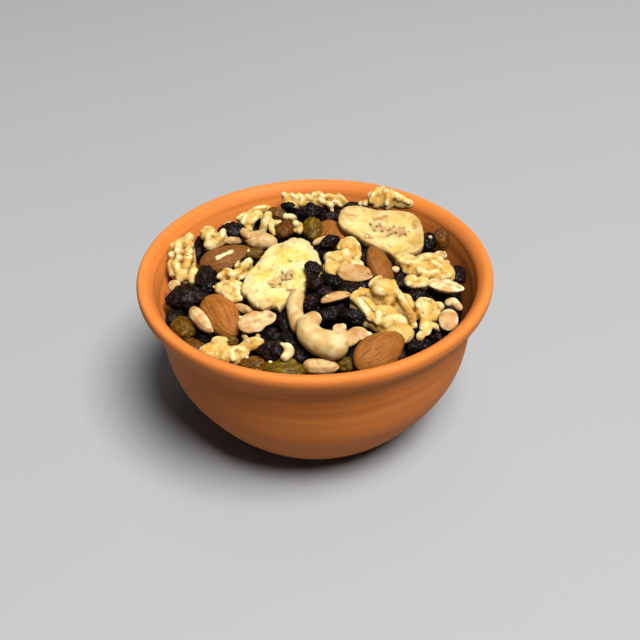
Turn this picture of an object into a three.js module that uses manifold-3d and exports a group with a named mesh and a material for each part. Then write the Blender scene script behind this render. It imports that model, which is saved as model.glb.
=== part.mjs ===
// A terracotta bowl filled with trail mix: raisins, walnuts, almonds, cashews, peanut halves and two
// banana slices. Millimetres, +Z up, with the origin at the centre of the bowl's foot.

import * as THREE from 'three';
import { mergeVertices } from 'three/addons/utils/BufferGeometryUtils.js';
import Module from 'manifold-3d';

const wasm = await Module();
wasm.setup();

// ---- Driving dimensions, in millimetres and degrees ----

const rimRadius = 80;
const bowlHeight = 82.2;
const footRadius = 41;
const footEdgeRadius = 1.6;
const lipHalfThickness = 3.25;
const lipHalfHeight = 5.85;
const lipFlareAngle = 27;
const floorThickness = 7;
const floorRadius = 30;

// Points that the outside and the inside of the wall pass through, as radius and height.
const outerWall = [[48.2, 6], [58.6, 18.4], [68.9, 36.8], [72.1, 55], [74.6, 70]];
const innerWall = [
  [72.7, 76.6], [71.9, 73.4], [70.9, 70], [69.2, 64.5], [66.6, 55], [62.4, 38], [54, 21.5], [43, 11],
];

const fillLevel = 79;
const fillFallToSides = 12;
const fillRiseToRight = 2;
const fillRadius = 68;
const coreDepthBelowPieces = 0.8;
const supportStep = 4;
const seatDepth = 0.4;
const coreBaseLevel = 60;
const coreTopRings = [1, 0.82, 0.6, 0.35, 0];
const clearance = 0.35;
const wallClearance = 0.6;

const sliceThickness = 4.2;
const sliceEdgeRadius = 1.4;

// Half the length, width and height of each kind of piece.
const raisinSize = [6.9, 4.8, 4.2];
const sultanaSize = [6.8, 4.6, 4];
const walnutPieceSize = [7, 5.2, 4.6];
const walnutHalfSize = [14.5, 10.5, 6.6];
const almondSize = [12.5, 7.2, 4.3];
const peanutHalfSize = [8.2, 4.6, 4.2];
const peanutFlatRise = 1.1;
const cashewThickness = 5.8;
const cashewDepth = 5.2;
const cashewBendRadius = 12;
const cashewBendAngle = 66;

const terracottaColor = 0xb9703f;
const mixColor = 0x8a6236;
const bananaColor = 0xf0dc9c;

// ---- Fineness of the faceted solids ----

const bowlSegments = 44;
const coreSegments = bowlSegments / 2;
const outerWallSteps = 7;
const lipSteps = 8;
const innerWallSteps = 10;
const sliceRimSteps = 30;
const sliceEdgeSteps = 2;
const weldDistance = 1e-3;

const degrees = THREE.MathUtils.degToRad;

// ---- Bowl ----

function wallCurve(points, steps) {
  return new THREE.SplineCurve(points.map(([radius, height]) => new THREE.Vector2(radius, height))).getPoints(steps);
}

// The lip's section is most of an ellipse that leans outward.
function lipPoints() {
  const start = degrees(-30);
  const end = degrees(174);
  const flare = degrees(lipFlareAngle);
  const reach = Math.hypot(lipHalfThickness * Math.cos(flare), lipHalfHeight * Math.sin(flare));
  const rise = Math.hypot(lipHalfThickness * Math.sin(flare), lipHalfHeight * Math.cos(flare));
  const lip = new THREE.EllipseCurve(
    rimRadius - reach,
    bowlHeight - rise,
    lipHalfThickness,
    lipHalfHeight,
    start,
    end,
    false,
    -flare,
  );
  return lip.getPoints(lipSteps);
}

const outerWallPoints = wallCurve([[footRadius + footEdgeRadius, footEdgeRadius], ...outerWall], outerWallSteps);
const innerWallPoints = wallCurve([...innerWall, [floorRadius, floorThickness]], innerWallSteps);

function bowlGeometry() {
  const profile = [
    new THREE.Vector2(0, 0),
    new THREE.Vector2(footRadius, 0),
    ...outerWallPoints,
    ...lipPoints(),
    ...innerWallPoints,
    new THREE.Vector2(0, floorThickness),
  ];
  return new THREE.LatheGeometry(profile, bowlSegments).rotateX(Math.PI / 2);
}

function innerRadiusAt(z) {
  const below = innerWallPoints.findIndex((point) => point.y <= z);
  if (below === 0) return innerWallPoints[0].x;
  if (below === -1) return floorRadius;
  const high = innerWallPoints[below - 1];
  const low = innerWallPoints[below];
  return THREE.MathUtils.mapLinear(z, low.y, high.y, low.x, high.x);
}

// ---- The mix: where its surface lies ----

function fillHeight(x, y) {
  const towardsFront = Math.min(y, 0);
  const fall = (x * x + towardsFront * towardsFront) / (fillRadius * fillRadius);
  return fillLevel - fillFallToSides * fall + (fillRiseToRight * x) / fillRadius;
}

// ---- Solids ----

function solidOf(geometry) {
  const bare = geometry.clone();
  bare.deleteAttribute('normal');
  bare.deleteAttribute('uv');
  const merged = mergeVertices(bare, weldDistance);
  const triangles = [];
  for (let i = 0; i < merged.index.count; i += 3) {
    const corners = [merged.index.getX(i), merged.index.getX(i + 1), merged.index.getX(i + 2)];
    if (new Set(corners).size === 3) triangles.push(...corners);
  }
  return new wasm.Manifold(
    new wasm.Mesh({
      numProp: 3,
      vertProperties: new Float32Array(merged.getAttribute('position').array),
      triVerts: new Uint32Array(triangles),
    }),
  );
}

function geometryOf(solid) {
  const mesh = solid.getMesh();
  const geometry = new THREE.BufferGeometry();
  geometry.setAttribute('position', new THREE.Float32BufferAttribute(mesh.vertProperties, 3));
  geometry.setIndex([...mesh.triVerts]);
  return geometry;
}

function reshape(geometry, change) {
  const position = geometry.getAttribute('position');
  const point = new THREE.Vector3();
  for (let i = 0; i < position.count; i += 1) {
    point.fromBufferAttribute(position, i);
    change(point);
    position.setXYZ(i, point.x, point.y, point.z);
  }
  return geometry;
}

// ---- Pieces of the mix, each with its length along X ----

// A unit sphere with its poles on X.
function sphereAlongX(sides, rings) {
  return new THREE.SphereGeometry(1, sides, rings).rotateZ(-Math.PI / 2);
}

// Turns a unit sphere into a lumpy body: waves of the given depth run over it.
function lumpy(sphere, size, { waves, depth, phase }) {
  const body = reshape(sphere, (point) => {
    const wave =
      Math.sin(waves * point.x + phase) +
      Math.sin(waves * point.y + 2 * phase) +
      Math.sin(waves * point.z + 3 * phase);
    point.multiplyScalar(1 + (depth * wave) / 3);
  });
  return body.scale(...size);
}

function raisin(phase) {
  return lumpy(new THREE.IcosahedronGeometry(1, 0), raisinSize, { waves: 5, depth: 0.16, phase });
}

function sultana(phase) {
  return lumpy(sphereAlongX(6, 4), sultanaSize, { waves: 4, depth: 0.12, phase });
}

function walnutPiece(phase) {
  return lumpy(new THREE.IcosahedronGeometry(1, 1), walnutPieceSize, { waves: 4.4, depth: 0.34, phase });
}

// Half a walnut kernel: two lobes with a groove between them and ridges across each.
function walnutHalf(phase) {
  const grooveDepth = 0.34;
  const grooveHalfWidth = 0.2;
  const ridgeHeight = 0.13;
  const ridgesAlong = 7;
  const ridgesAcross = 5;
  const body = reshape(new THREE.IcosahedronGeometry(1, 2), (point) => {
    const groove = grooveDepth * Math.exp(-((point.y / grooveHalfWidth) ** 2));
    const ridges = ridgeHeight * Math.sin(ridgesAlong * point.x + phase) * Math.cos(ridgesAcross * point.y);
    point.multiplyScalar(1 - groove + ridges);
  });
  return body.scale(...walnutHalfSize);
}

// An almond: pointed towards +X, round at the other end.
function almond() {
  const taper = 0.16;
  const tipSharpness = 0.2;
  return reshape(sphereAlongX(8, 7), (point) => {
    const girth = 1 - taper * point.x - tipSharpness * point.x ** 4;
    point.multiply(new THREE.Vector3(1, girth, girth));
  }).scale(...almondSize);
}

// Half a peanut: its upper face nearly flat, its lower one round, a little thicker at one end.
function peanutHalf() {
  const taper = 0.12;
  const [halfLength, halfWidth, domeDepth] = peanutHalfSize;
  return reshape(sphereAlongX(7, 5), (point) => {
    const girth = 1 - taper * point.x;
    const depth = point.z > 0 ? peanutFlatRise : domeDepth;
    point.multiply(new THREE.Vector3(halfLength, halfWidth * girth, depth * girth));
  });
}

// A cashew: a thick sausage, bent in its own plane, thicker at one end.
function cashew() {
  const taper = 0.14;
  return reshape(sphereAlongX(8, 10), (point) => {
    const angle = degrees(cashewBendAngle) * point.x;
    const radius = cashewBendRadius + cashewThickness * (1 - taper * point.x) * point.y;
    point.set(radius * Math.sin(angle), radius * Math.cos(angle) - cashewBendRadius, cashewDepth * point.z);
  });
}

const kinds = { raisin, sultana, walnutPiece, walnutHalf, almond, peanutHalf, cashew };

// ---- Laying pieces on the mix ----

// Moves a piece straight in from the wall until all of it clears the bowl.
function clearOfWall(geometry, x, y) {
  const position = geometry.getAttribute('position');
  let excess = 0;
  for (let i = 0; i < position.count; i += 1) {
    const reach = Math.hypot(position.getX(i), position.getY(i));
    excess = Math.max(excess, reach - innerRadiusAt(position.getZ(i)) + wallClearance);
  }
  const outward = Math.max(Math.hypot(x, y), 1);
  return geometry.translate((-excess * x) / outward, (-excess * y) / outward, 0);
}

// turn is the heading of the piece's long axis, tip raises its front end and roll turns it about
// that axis, all in degrees. lift is the height of its centre above the surface of the mix.
function laidPiece(kind, x, y, { turn = 0, tip = 0, roll = 0, size = 1, lift = 0 }) {
  const phase = x + 2 * y;
  const geometry = kinds[kind](phase);
  const placed = new THREE.Object3D();
  placed.rotation.set(degrees(roll), degrees(-tip), degrees(turn), 'ZYX');
  placed.position.set(x, y, fillHeight(x, y) + lift);
  placed.scale.setScalar(size);
  placed.updateMatrix();
  return solidOf(clearOfWall(geometry.applyMatrix4(placed.matrix), x, y));
}

const layout = [];

// Lays a piece, with raisins below it where it lies clear of the core.
function lay(kind, x, y, pose = {}) {
  const solid = laidPiece(kind, x, y, pose);
  const { min, max } = solid.boundingBox();
  layout.push({ solid, x, y, reach: Math.max(max[0] - min[0], max[1] - min[1]) / 2 });
  const coreTop = fillHeight(x, y) - coreDepthBelowPieces;
  if (min[2] > coreTop - seatDepth) lay('raisin', x, y, { lift: (pose.lift ?? 0) - supportStep });
}

function isFree(x, y, room) {
  return layout.every((piece) => Math.hypot(piece.x - x, piece.y - y) > piece.reach + room);
}

function layWalnutHalves() {
  lay('walnutHalf', 29, -34, { turn: -50, tip: 6, roll: 20, size: 1.12, lift: 1 });
  lay('walnutHalf', 51, -3, { turn: 12, roll: -10, size: 0.92, lift: 2 });
  lay('walnutHalf', -62, 13, { turn: 90, tip: 30, size: 0.86, lift: 7 });
  lay('walnutHalf', 38, 51, { turn: -10, roll: 30, size: 0.72, lift: 6 });
  lay('walnutHalf', -37, -49, { turn: -5, roll: 20, size: 0.78, lift: 2 });
}

function layAlmonds() {
  lay('almond', -41, 21, { turn: 16, tip: 3, roll: 24, size: 1.05 });
  lay('almond', -39.7, -20.3, { turn: -58, tip: -9, roll: 22, size: 1.1 });
  lay('almond', 9.5, 30, { turn: -67, tip: -4, roll: 10, size: 0.94, lift: 1 });
  lay('almond', 31, 3.5, { turn: 98, tip: 9, roll: 45, size: 1.02, lift: 1 });
  lay('almond', 25.6, -49.7, { turn: 38, tip: 4, roll: 38, size: 1.06, lift: 0.7 });
}

function layCashews() {
  lay('cashew', 0.5, -49, { turn: 135, roll: -15, size: 1.08, lift: 5 });
  lay('cashew', -8.5, -33, { turn: 90, size: 0.72, lift: 4 });
}

function layPeanutHalves() {
  lay('peanutHalf', 18.5, -6, { turn: -14, roll: 28, lift: 2 });
  lay('peanutHalf', 8, -24.5, { turn: 22, roll: 148, size: 0.88, lift: 3 });
  lay('peanutHalf', -49, -27, { turn: -53, tip: -8, roll: -98, size: 1.02, lift: 3 });
  lay('peanutHalf', -25, -32, { turn: 20, tip: 4, roll: 34, size: 1.04, lift: 2 });
  lay('peanutHalf', -30.5, -20, { turn: -30, roll: -100, size: 0.8 });
  lay('peanutHalf', 2, -56.5, { turn: -5, roll: -105, size: 0.92, lift: 1.7 });
  lay('peanutHalf', 58.5, -14, { turn: -22, roll: 12, size: 0.98, lift: 5.5 });
  lay('peanutHalf', 56, -37, { turn: -100, tip: -14, roll: 8, size: 0.66, lift: 6 });
  lay('peanutHalf', 16, -45, { turn: 25, roll: 25, size: 0.78, lift: 2 });
  lay('peanutHalf', -26, 29, { turn: -15, roll: -140, lift: 1 });
  lay('peanutHalf', -39, 33, { turn: -2, roll: -120, size: 0.7, lift: 0.5 });
  lay('peanutHalf', -42, 44.5, { turn: 28, size: 0.52, lift: 3.5 });
  lay('peanutHalf', -11.5, -54, { turn: -90, tip: -20, size: 0.42, lift: 3 });
  lay('peanutHalf', 2.5, 22, { turn: 39, roll: -110, size: 0.52, lift: 1 });
}

function layWalnutPieces() {
  lay('walnutPiece', 29.5, -22, { turn: 10, size: 0.98, lift: 5.5 });
  lay('walnutPiece', 48, -30.5, { turn: 10, size: 0.98, lift: 4 });
  lay('walnutPiece', 46, -41, { turn: 80, size: 0.8, lift: 3 });
  lay('walnutPiece', 8, 1.5, { turn: -30, size: 0.98, lift: 1 });
  lay('walnutPiece', 17, 9, { turn: -80, size: 1.08, lift: 1 });
  lay('walnutPiece', -38, -12, { turn: -30, size: 1.05, lift: 2 });
  lay('walnutPiece', -36, 0, { turn: 12, size: 1, lift: 3 });
  lay('walnutPiece', -48.5, 28, { turn: -16, size: 1, lift: 5 });
  lay('walnutPiece', -31, 44, { turn: 10, size: 0.85, lift: 2 });
  lay('walnutPiece', -33, 51, { turn: 25, size: 0.85, lift: 2 });
  lay('walnutPiece', -23.5, 40, { turn: 87, tip: 20, size: 0.8, lift: 2 });
  lay('walnutPiece', -8.5, 37, { turn: 89, tip: 20, size: 0.72, lift: 1 });
  lay('walnutPiece', -8, 61, { size: 1.22 });
  lay('walnutPiece', 8, 61, { turn: -16, size: 1.22 });
  lay('walnutPiece', -27, -46, { turn: -10, size: 0.62, lift: 3 });
}

function layRaisins() {
  lay('raisin', -1, 47, { turn: -5, lift: 2 });
  lay('raisin', 8, 45, { turn: 9, size: 0.7 });
  lay('raisin', -38, 41, { turn: -12, lift: 2 });
  lay('raisin', -53.5, 35, { turn: -77, tip: 30, size: 0.95, lift: 3 });
  lay('raisin', 8.5, 21, { turn: 29, size: 0.75, lift: 0.5 });
  lay('raisin', 18.5, 24, { turn: -45, size: 0.75, lift: 1 });
  lay('raisin', 23.5, 11, { turn: -97, size: 0.84 });
  lay('raisin', 40, -5, { turn: -84, size: 0.95 });
  lay('raisin', 54.5, 24, { turn: -100, tip: -25, size: 0.84, lift: 3 });
  lay('raisin', 66, 3, { turn: -84, size: 0.86, lift: 2 });
  lay('raisin', -1, -10, { turn: -80, size: 0.8, lift: 5 });
  lay('raisin', 0, -17, { turn: -70, size: 0.8, lift: 4.5 });
  lay('raisin', 8, -13.5, { turn: -30, size: 0.85, lift: 2 });
  lay('raisin', -50, 5, { turn: 75, lift: 2 });
  lay('raisin', -57.5, -10, { turn: -3, size: 1.5, lift: 3 });
  lay('raisin', -20, -48, { turn: -8, size: 1.08 });
  lay('raisin', -13, -31, { turn: -82 });
  lay('raisin', -11, -42, { turn: -76 });
  lay('raisin', 15, -16, { turn: -8 });
  lay('raisin', 15, -29, { turn: -24, lift: -1.5 });
  lay('raisin', 45, -14, { turn: 23, size: 0.9 });
}

function laySultanas() {
  lay('sultana', -12.5, 35, { turn: 80, size: 0.94, lift: 1.5 });
  lay('sultana', -18, 50, { turn: -22, size: 0.78, lift: 1 });
  lay('sultana', -1, 33, { turn: -90, tip: -20, size: 0.95, lift: -0.5 });
  lay('sultana', 61, 27, { turn: 80, tip: 40, size: 0.85, lift: 5 });
  lay('sultana', -57, 13, { turn: -77, size: 0.8, lift: 2 });
  lay('sultana', -58, -27, { turn: -62, size: 1.06, lift: 1.5 });
  lay('sultana', -27, -53, { turn: -2, size: 0.9, lift: 1 });
  lay('sultana', -13, -58, { turn: -6, size: 1.26, lift: 0.5 });
  lay('sultana', 14, -57, { turn: -3, size: 0.8, lift: 0.5 });
  lay('sultana', 36, 11, { turn: -74, size: 0.7, lift: 1.5 });
}

// Evenly spread numbers from 0 to 1 that are the same every time.
function seededRandom(seed) {
  const multiplier = 16807;
  const modulus = 2 ** 31 - 1;
  let state = seed;
  return () => {
    state = (state * multiplier) % modulus;
    return state / modulus;
  };
}

// Raisins fill in where nothing else lies: rings of evenly spaced places, each nudged by a seeded
// draw.
function layFillingRaisins() {
  const spacing = 12;
  const nudge = 2;
  const outerRing = 63;
  const room = 1;
  const depth = 2;
  const steepestRoll = 60;
  const random = seededRandom(7);
  for (let ring = spacing; ring <= outerRing; ring += spacing) {
    const count = Math.round((2 * Math.PI * ring) / spacing);
    for (let i = 0; i < count; i += 1) {
      const angle = (2 * Math.PI * (i + random())) / count;
      const reach = ring + nudge * (random() - 0.5);
      const x = reach * Math.cos(angle);
      const y = reach * Math.sin(angle);
      const pose = { turn: 180 * random(), roll: steepestRoll * random(), lift: -depth };
      if (isFree(x, y, room)) lay('raisin', x, y, pose);
    }
  }
}

// ---- Banana slices ----

const slices = [
  {
    name: 'banana_slice_front',
    centre: [-15, -7.5, 80.85],
    leanBack: 10,
    leanSide: -3,
    outline: [
      [-18, -10], [-17, -2], [-11, 7], [-5, 17], [3, 21.5], [10, 21], [14, 15.5],
      [18, 5], [17, -5], [10, -12], [6, -18], [-2, -20.5], [-10, -20], [-15, -14.5],
    ],
  },
  {
    name: 'banana_slice_back',
    centre: [32, 24.5, 81.5],
    leanBack: 10,
    leanSide: 2,
    outline: [
      [-20, 13.5], [-14, 18.5], [-4, 16.5], [7, 15], [15, 11.5], [19.5, 2], [19, -9],
      [15, -16.5], [6, -20], [1, -14], [-7, -8.5], [-14, -3.5], [-19, 4],
    ],
  },
];

// The slice's rounded disc. grow makes it larger all round, for the hollow it lies in.
function sliceGeometry(slice, grow = 0) {
  const corners = slice.outline.map(([x, y]) => new THREE.Vector3(x, y, 0));
  const rim = new THREE.CatmullRomCurve3(corners, true).getPoints(sliceRimSteps);
  rim.pop();
  const shape = new THREE.Shape(rim.map((point) => new THREE.Vector2(point.x, point.y)));
  const straight = sliceThickness - 2 * sliceEdgeRadius;
  const geometry = new THREE.ExtrudeGeometry(shape, {
    depth: straight,
    bevelThickness: sliceEdgeRadius + grow,
    bevelSize: sliceEdgeRadius,
    bevelOffset: grow - sliceEdgeRadius,
    bevelSegments: sliceEdgeSteps,
    steps: 1,
  });
  return geometry.translate(0, 0, -straight / 2);
}

function place(object, slice) {
  object.position.set(...slice.centre);
  object.rotation.set(degrees(slice.leanBack), degrees(slice.leanSide), 0, 'YXZ');
  object.updateMatrix();
  return object;
}

// ---- The heap of small pieces ----

// Fills the bowl up to a little below the pieces: its underside follows the inside of the wall.
function coreGeometry() {
  const underside = innerWallPoints.filter((point) => point.y < coreBaseLevel).reverse();
  const markLevel = 2 * bowlHeight;
  const profile = [
    new THREE.Vector2(0, floorThickness + clearance),
    ...underside.map((point) => new THREE.Vector2(point.x - clearance, point.y + clearance)),
    ...coreTopRings.map((ring) => new THREE.Vector2(ring * fillRadius, markLevel)),
  ];
  const geometry = new THREE.LatheGeometry(profile, coreSegments).rotateX(Math.PI / 2);
  return reshape(geometry, (point) => {
    if (point.z < markLevel - 1) return;
    point.z = fillHeight(point.x, point.y) - coreDepthBelowPieces;
    const reach = Math.hypot(point.x, point.y);
    if (reach > fillRadius - 1) {
      const shrink = (innerRadiusAt(point.z) - wallClearance) / reach;
      point.x *= shrink;
      point.y *= shrink;
    }
  });
}

function heapGeometry() {
  layWalnutHalves();
  layAlmonds();
  layCashews();
  layPeanutHalves();
  layWalnutPieces();
  layRaisins();
  laySultanas();
  layFillingRaisins();
  let heap = solidOf(coreGeometry());
  for (const piece of layout) heap = heap.add(piece.solid);
  for (const slice of slices) {
    const hollow = sliceGeometry(slice, clearance);
    heap = heap.subtract(solidOf(hollow.applyMatrix4(place(new THREE.Object3D(), slice).matrix)));
  }
  const [largest] = heap.decompose().sort((a, b) => b.volume() - a.volume());
  return geometryOf(largest);
}

// ---- Scene graph ----

const group = new THREE.Group();

function add(name, geometry, color, roughness) {
  const mesh = new THREE.Mesh(geometry, new THREE.MeshStandardMaterial({ color, roughness, metalness: 0 }));
  mesh.name = name;
  group.add(mesh);
  return mesh;
}

add('bowl', bowlGeometry(), terracottaColor, 0.85);
add('trail_mix', heapGeometry(), mixColor, 0.6);
for (const slice of slices) place(add(slice.name, sliceGeometry(slice), bananaColor, 0.6), slice);

export default group;
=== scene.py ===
"""A terracotta bowl of trail mix: dark raisins, sultanas, walnuts, almonds, cashews, peanut halves and
two banana slices. Shapes are worked out in millimetres and become metres in make_piece."""

import functools
import math

import bpy
import numpy as np
from mathutils import Matrix, Vector


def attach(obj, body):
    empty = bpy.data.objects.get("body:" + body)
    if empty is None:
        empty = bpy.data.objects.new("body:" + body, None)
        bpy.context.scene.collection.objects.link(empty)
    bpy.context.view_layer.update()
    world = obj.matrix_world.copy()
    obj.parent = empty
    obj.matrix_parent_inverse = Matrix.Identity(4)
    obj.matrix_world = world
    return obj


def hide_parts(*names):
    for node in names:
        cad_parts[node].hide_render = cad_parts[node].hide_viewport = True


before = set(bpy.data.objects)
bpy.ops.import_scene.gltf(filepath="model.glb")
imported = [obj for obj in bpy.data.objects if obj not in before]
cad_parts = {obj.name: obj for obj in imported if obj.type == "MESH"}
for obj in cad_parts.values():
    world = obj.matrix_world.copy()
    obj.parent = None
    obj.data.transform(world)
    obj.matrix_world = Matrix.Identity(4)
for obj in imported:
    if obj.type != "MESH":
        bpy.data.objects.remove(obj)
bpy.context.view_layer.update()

MM = 0.001
BODY = "root"

# ---- Driving dimensions, as in the part's source, in millimetres and degrees ----

RIM_RADIUS = 80.0
BOWL_HEIGHT = 82.2
FOOT_RADIUS = 41.0
FOOT_EDGE_RADIUS = 1.6
OUTER_WALL = [
    (FOOT_RADIUS + FOOT_EDGE_RADIUS, FOOT_EDGE_RADIUS), (48.2, 6), (58.6, 18.4), (68.9, 36.8), (72.1, 55),
    (73.6, 65), (74.5, 69.6), (75.6, 71.6), (77.2, 72.9),
]
LIP_HALF_THICKNESS = 3.25
LIP_HALF_HEIGHT = 5.85
LIP_FLARE = 27
LIP_START, LIP_END = -29, 174
FLOOR_THICKNESS = 7.0
FLOOR_RADIUS = 30.0
INNER_WALL = [
    (72.85, 77.5), (72.55, 76.3), (72.2, 75.1), (71.6, 73), (70.9, 70), (69.2, 64.5), (66.6, 55), (62.4, 38),
    (54, 21.5), (43, 11), (FLOOR_RADIUS, FLOOR_THICKNESS),
]
OUTER_STEPS, LIP_STEPS, INNER_STEPS = 90, 44, 80
SIDES = 220

FILL_LEVEL = 79.0
FILL_FALL_TO_SIDES = 12.0
FILL_RISE_TO_RIGHT = 2.0
FILL_RADIUS = 68.0
FILLING_RADIUS = 62.0
FILLING_SPACING = 9.0
FILLING_DEPTH = 3.5
CORE_DEPTH = 7.0
CORE_LUMPS = 1.4
CORE_BOTTOM = 58.0
CORE_GAP = 0.5
CORE_RIM_GAP = 0.8
CRUMB_COUNT = 26

SLICE_THICKNESS = 4.2
SLICE_EDGE = 1.4

# ---- Small mathematical helpers ----


def smoothstep(low, high, x):
    t = np.clip((x - low) / (high - low), 0.0, 1.0)
    return t * t * (3 - 2 * t)


def catmull_rom(a, b, c, d, u):
    return 0.5 * (2 * b + (c - a) * u + (2 * a - 5 * b + 4 * c - d) * u**2 + (3 * b - a - 3 * c + d) * u**3)


def spline(points, count):
    """Points evenly spread along a curve through the given ones."""
    points = np.array(points, float)
    p = np.vstack([2 * points[0] - points[1], points, 2 * points[-1] - points[-2]])
    t = np.linspace(0, len(points) - 1, count)
    i = np.minimum(t.astype(int), len(points) - 2)
    return catmull_rom(p[i], p[i + 1], p[i + 2], p[i + 3], (t - i)[:, None])


def closed_spline(points, count):
    """A closed curve through the given points."""
    points = np.array(points, float)
    t = np.linspace(0, len(points), count, endpoint=False)
    i = t.astype(int)
    return catmull_rom(*(points[(i + k) % len(points)] for k in (-1, 0, 1, 2)), (t - i)[:, None])


PERMUTATION = np.random.default_rng(3).permutation(256)
GRADIENTS = np.random.default_rng(4).normal(size=(256, 3))
GRADIENTS /= np.linalg.norm(GRADIENTS, axis=1)[:, None]


def noise(points, seed=0):
    """Gradient noise of about -1 to 1, with features about 1 unit across."""
    points = np.asarray(points, float) + 37.7 * seed
    cell = np.floor(points).astype(int)
    inside = points - cell
    blend = inside**3 * (inside * (inside * 6 - 15) + 10)
    total = np.zeros(len(points))
    for corner in range(8):
        offset = np.array([corner & 1, corner >> 1 & 1, corner >> 2 & 1])
        x, y, z = ((cell + offset) & 255).T
        hashed = PERMUTATION[(PERMUTATION[(PERMUTATION[x] + y) & 255] + z) & 255]
        dot = ((inside - offset) * GRADIENTS[hashed]).sum(1)
        total += dot * np.prod(np.where(offset == 1, blend, 1 - blend), axis=1)
    return 1.7 * total


def rotation(turn, tip, roll):
    """Rolls about X, tips the front end up, then turns to a heading: all in degrees."""
    a, b, c = (math.radians(angle) for angle in (roll, -tip, turn))
    about_x = np.array([[1, 0, 0], [0, math.cos(a), -math.sin(a)], [0, math.sin(a), math.cos(a)]])
    about_y = np.array([[math.cos(b), 0, math.sin(b)], [0, 1, 0], [-math.sin(b), 0, math.cos(b)]])
    about_z = np.array([[math.cos(c), -math.sin(c), 0], [math.sin(c), math.cos(c), 0], [0, 0, 1]])
    return about_z @ about_y @ about_x


# ---- Meshes, as arrays of points and triangles ----


def halves(a, b, c, d):
    """Both triangles of every four-cornered face."""
    return np.concatenate([np.stack([a, b, c], -1).reshape(-1, 3), np.stack([a, c, d], -1).reshape(-1, 3)])


def sheath(rings, sides, clockwise=True):
    """The triangles round a stack of closed rings of points, with a fan to one more point at each end.

    Clockwise says which way the rings run, as seen from the start of the stack."""
    grid = np.arange(rings * sides).reshape(rings, sides)
    after = np.roll(grid, -1, axis=1)
    start, end = np.full(sides, rings * sides), np.full(sides, rings * sides + 1)
    if clockwise:
        faces = halves(grid[:-1], after[:-1], after[1:], grid[1:])
        fans = [start, after[0], grid[0]], [end, grid[-1], after[-1]]
    else:
        faces = halves(grid[:-1], grid[1:], after[1:], after[:-1])
        fans = [start, grid[0], after[0]], [end, after[-1], grid[-1]]
    return np.concatenate([faces, *(np.stack(fan, -1) for fan in fans)])


def revolve(profile, segments):
    """A closed surface of revolution from a profile that starts and ends on the axis."""
    inner = profile[1:-1]
    angles = np.linspace(0, 2 * math.pi, segments, endpoint=False)
    points = np.stack([
        np.outer(inner[:, 0], np.cos(angles)),
        np.outer(inner[:, 0], np.sin(angles)),
        np.repeat(inner[:, 1][:, None], segments, 1),
    ], -1).reshape(-1, 3)
    points = np.vstack([points, [0, 0, profile[0][1]], [0, 0, profile[-1][1]]])
    return points, sheath(len(inner), segments)


@functools.cache
def ball(cells):
    """A unit sphere made from a cube with that many cells along an edge."""
    steps = np.tan(np.linspace(-math.pi / 4, math.pi / 4, cells + 1))
    u, v = np.meshgrid(steps, steps, indexing="ij")
    side = cells + 1
    grid = np.arange(side * side).reshape(side, side)
    faces = halves(grid[:-1, :-1], grid[1:, :-1], grid[1:, 1:], grid[:-1, 1:])
    points, triangles = [], []
    for axis in range(3):
        for sign in (1, -1):
            face = np.empty((side * side, 3))
            face[:, axis] = sign
            face[:, (axis + 1) % 3] = u.ravel()
            face[:, (axis + 2) % 3] = sign * v.ravel()
            triangles.append(faces + len(points) * side * side)
            points.append(face)
    points = np.concatenate(points)
    points /= np.linalg.norm(points, axis=1)[:, None]
    _, first, back = np.unique(np.round(points, 6), axis=0, return_index=True, return_inverse=True)
    return points[first], back.ravel()[np.concatenate(triangles)]


def make_piece(name, points, triangles, attributes, material, node):
    """One mesh object of the part from arrays in millimetres."""
    mesh = bpy.data.meshes.new(name)
    mesh.vertices.add(len(points))
    mesh.vertices.foreach_set("co", (np.asarray(points) * MM).astype(np.float32).ravel())
    mesh.loops.add(len(triangles) * 3)
    mesh.loops.foreach_set("vertex_index", np.asarray(triangles, np.int32).ravel())
    mesh.polygons.add(len(triangles))
    mesh.polygons.foreach_set("loop_start", np.arange(0, len(triangles) * 3, 3, dtype=np.int32))
    mesh.polygons.foreach_set("use_smooth", np.full(len(triangles), True))
    for key, values in attributes.items():
        layer = mesh.attributes.new(key, "FLOAT", "POINT")
        layer.data.foreach_set("value", np.asarray(values, np.float32))
    mesh.update(calc_edges=True)
    mesh.validate()
    mesh.materials.append(material)
    obj = bpy.data.objects.new(name, mesh)
    bpy.context.scene.collection.objects.link(obj)
    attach(obj, BODY)
    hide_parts(node)


# ---- Materials ----


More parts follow.
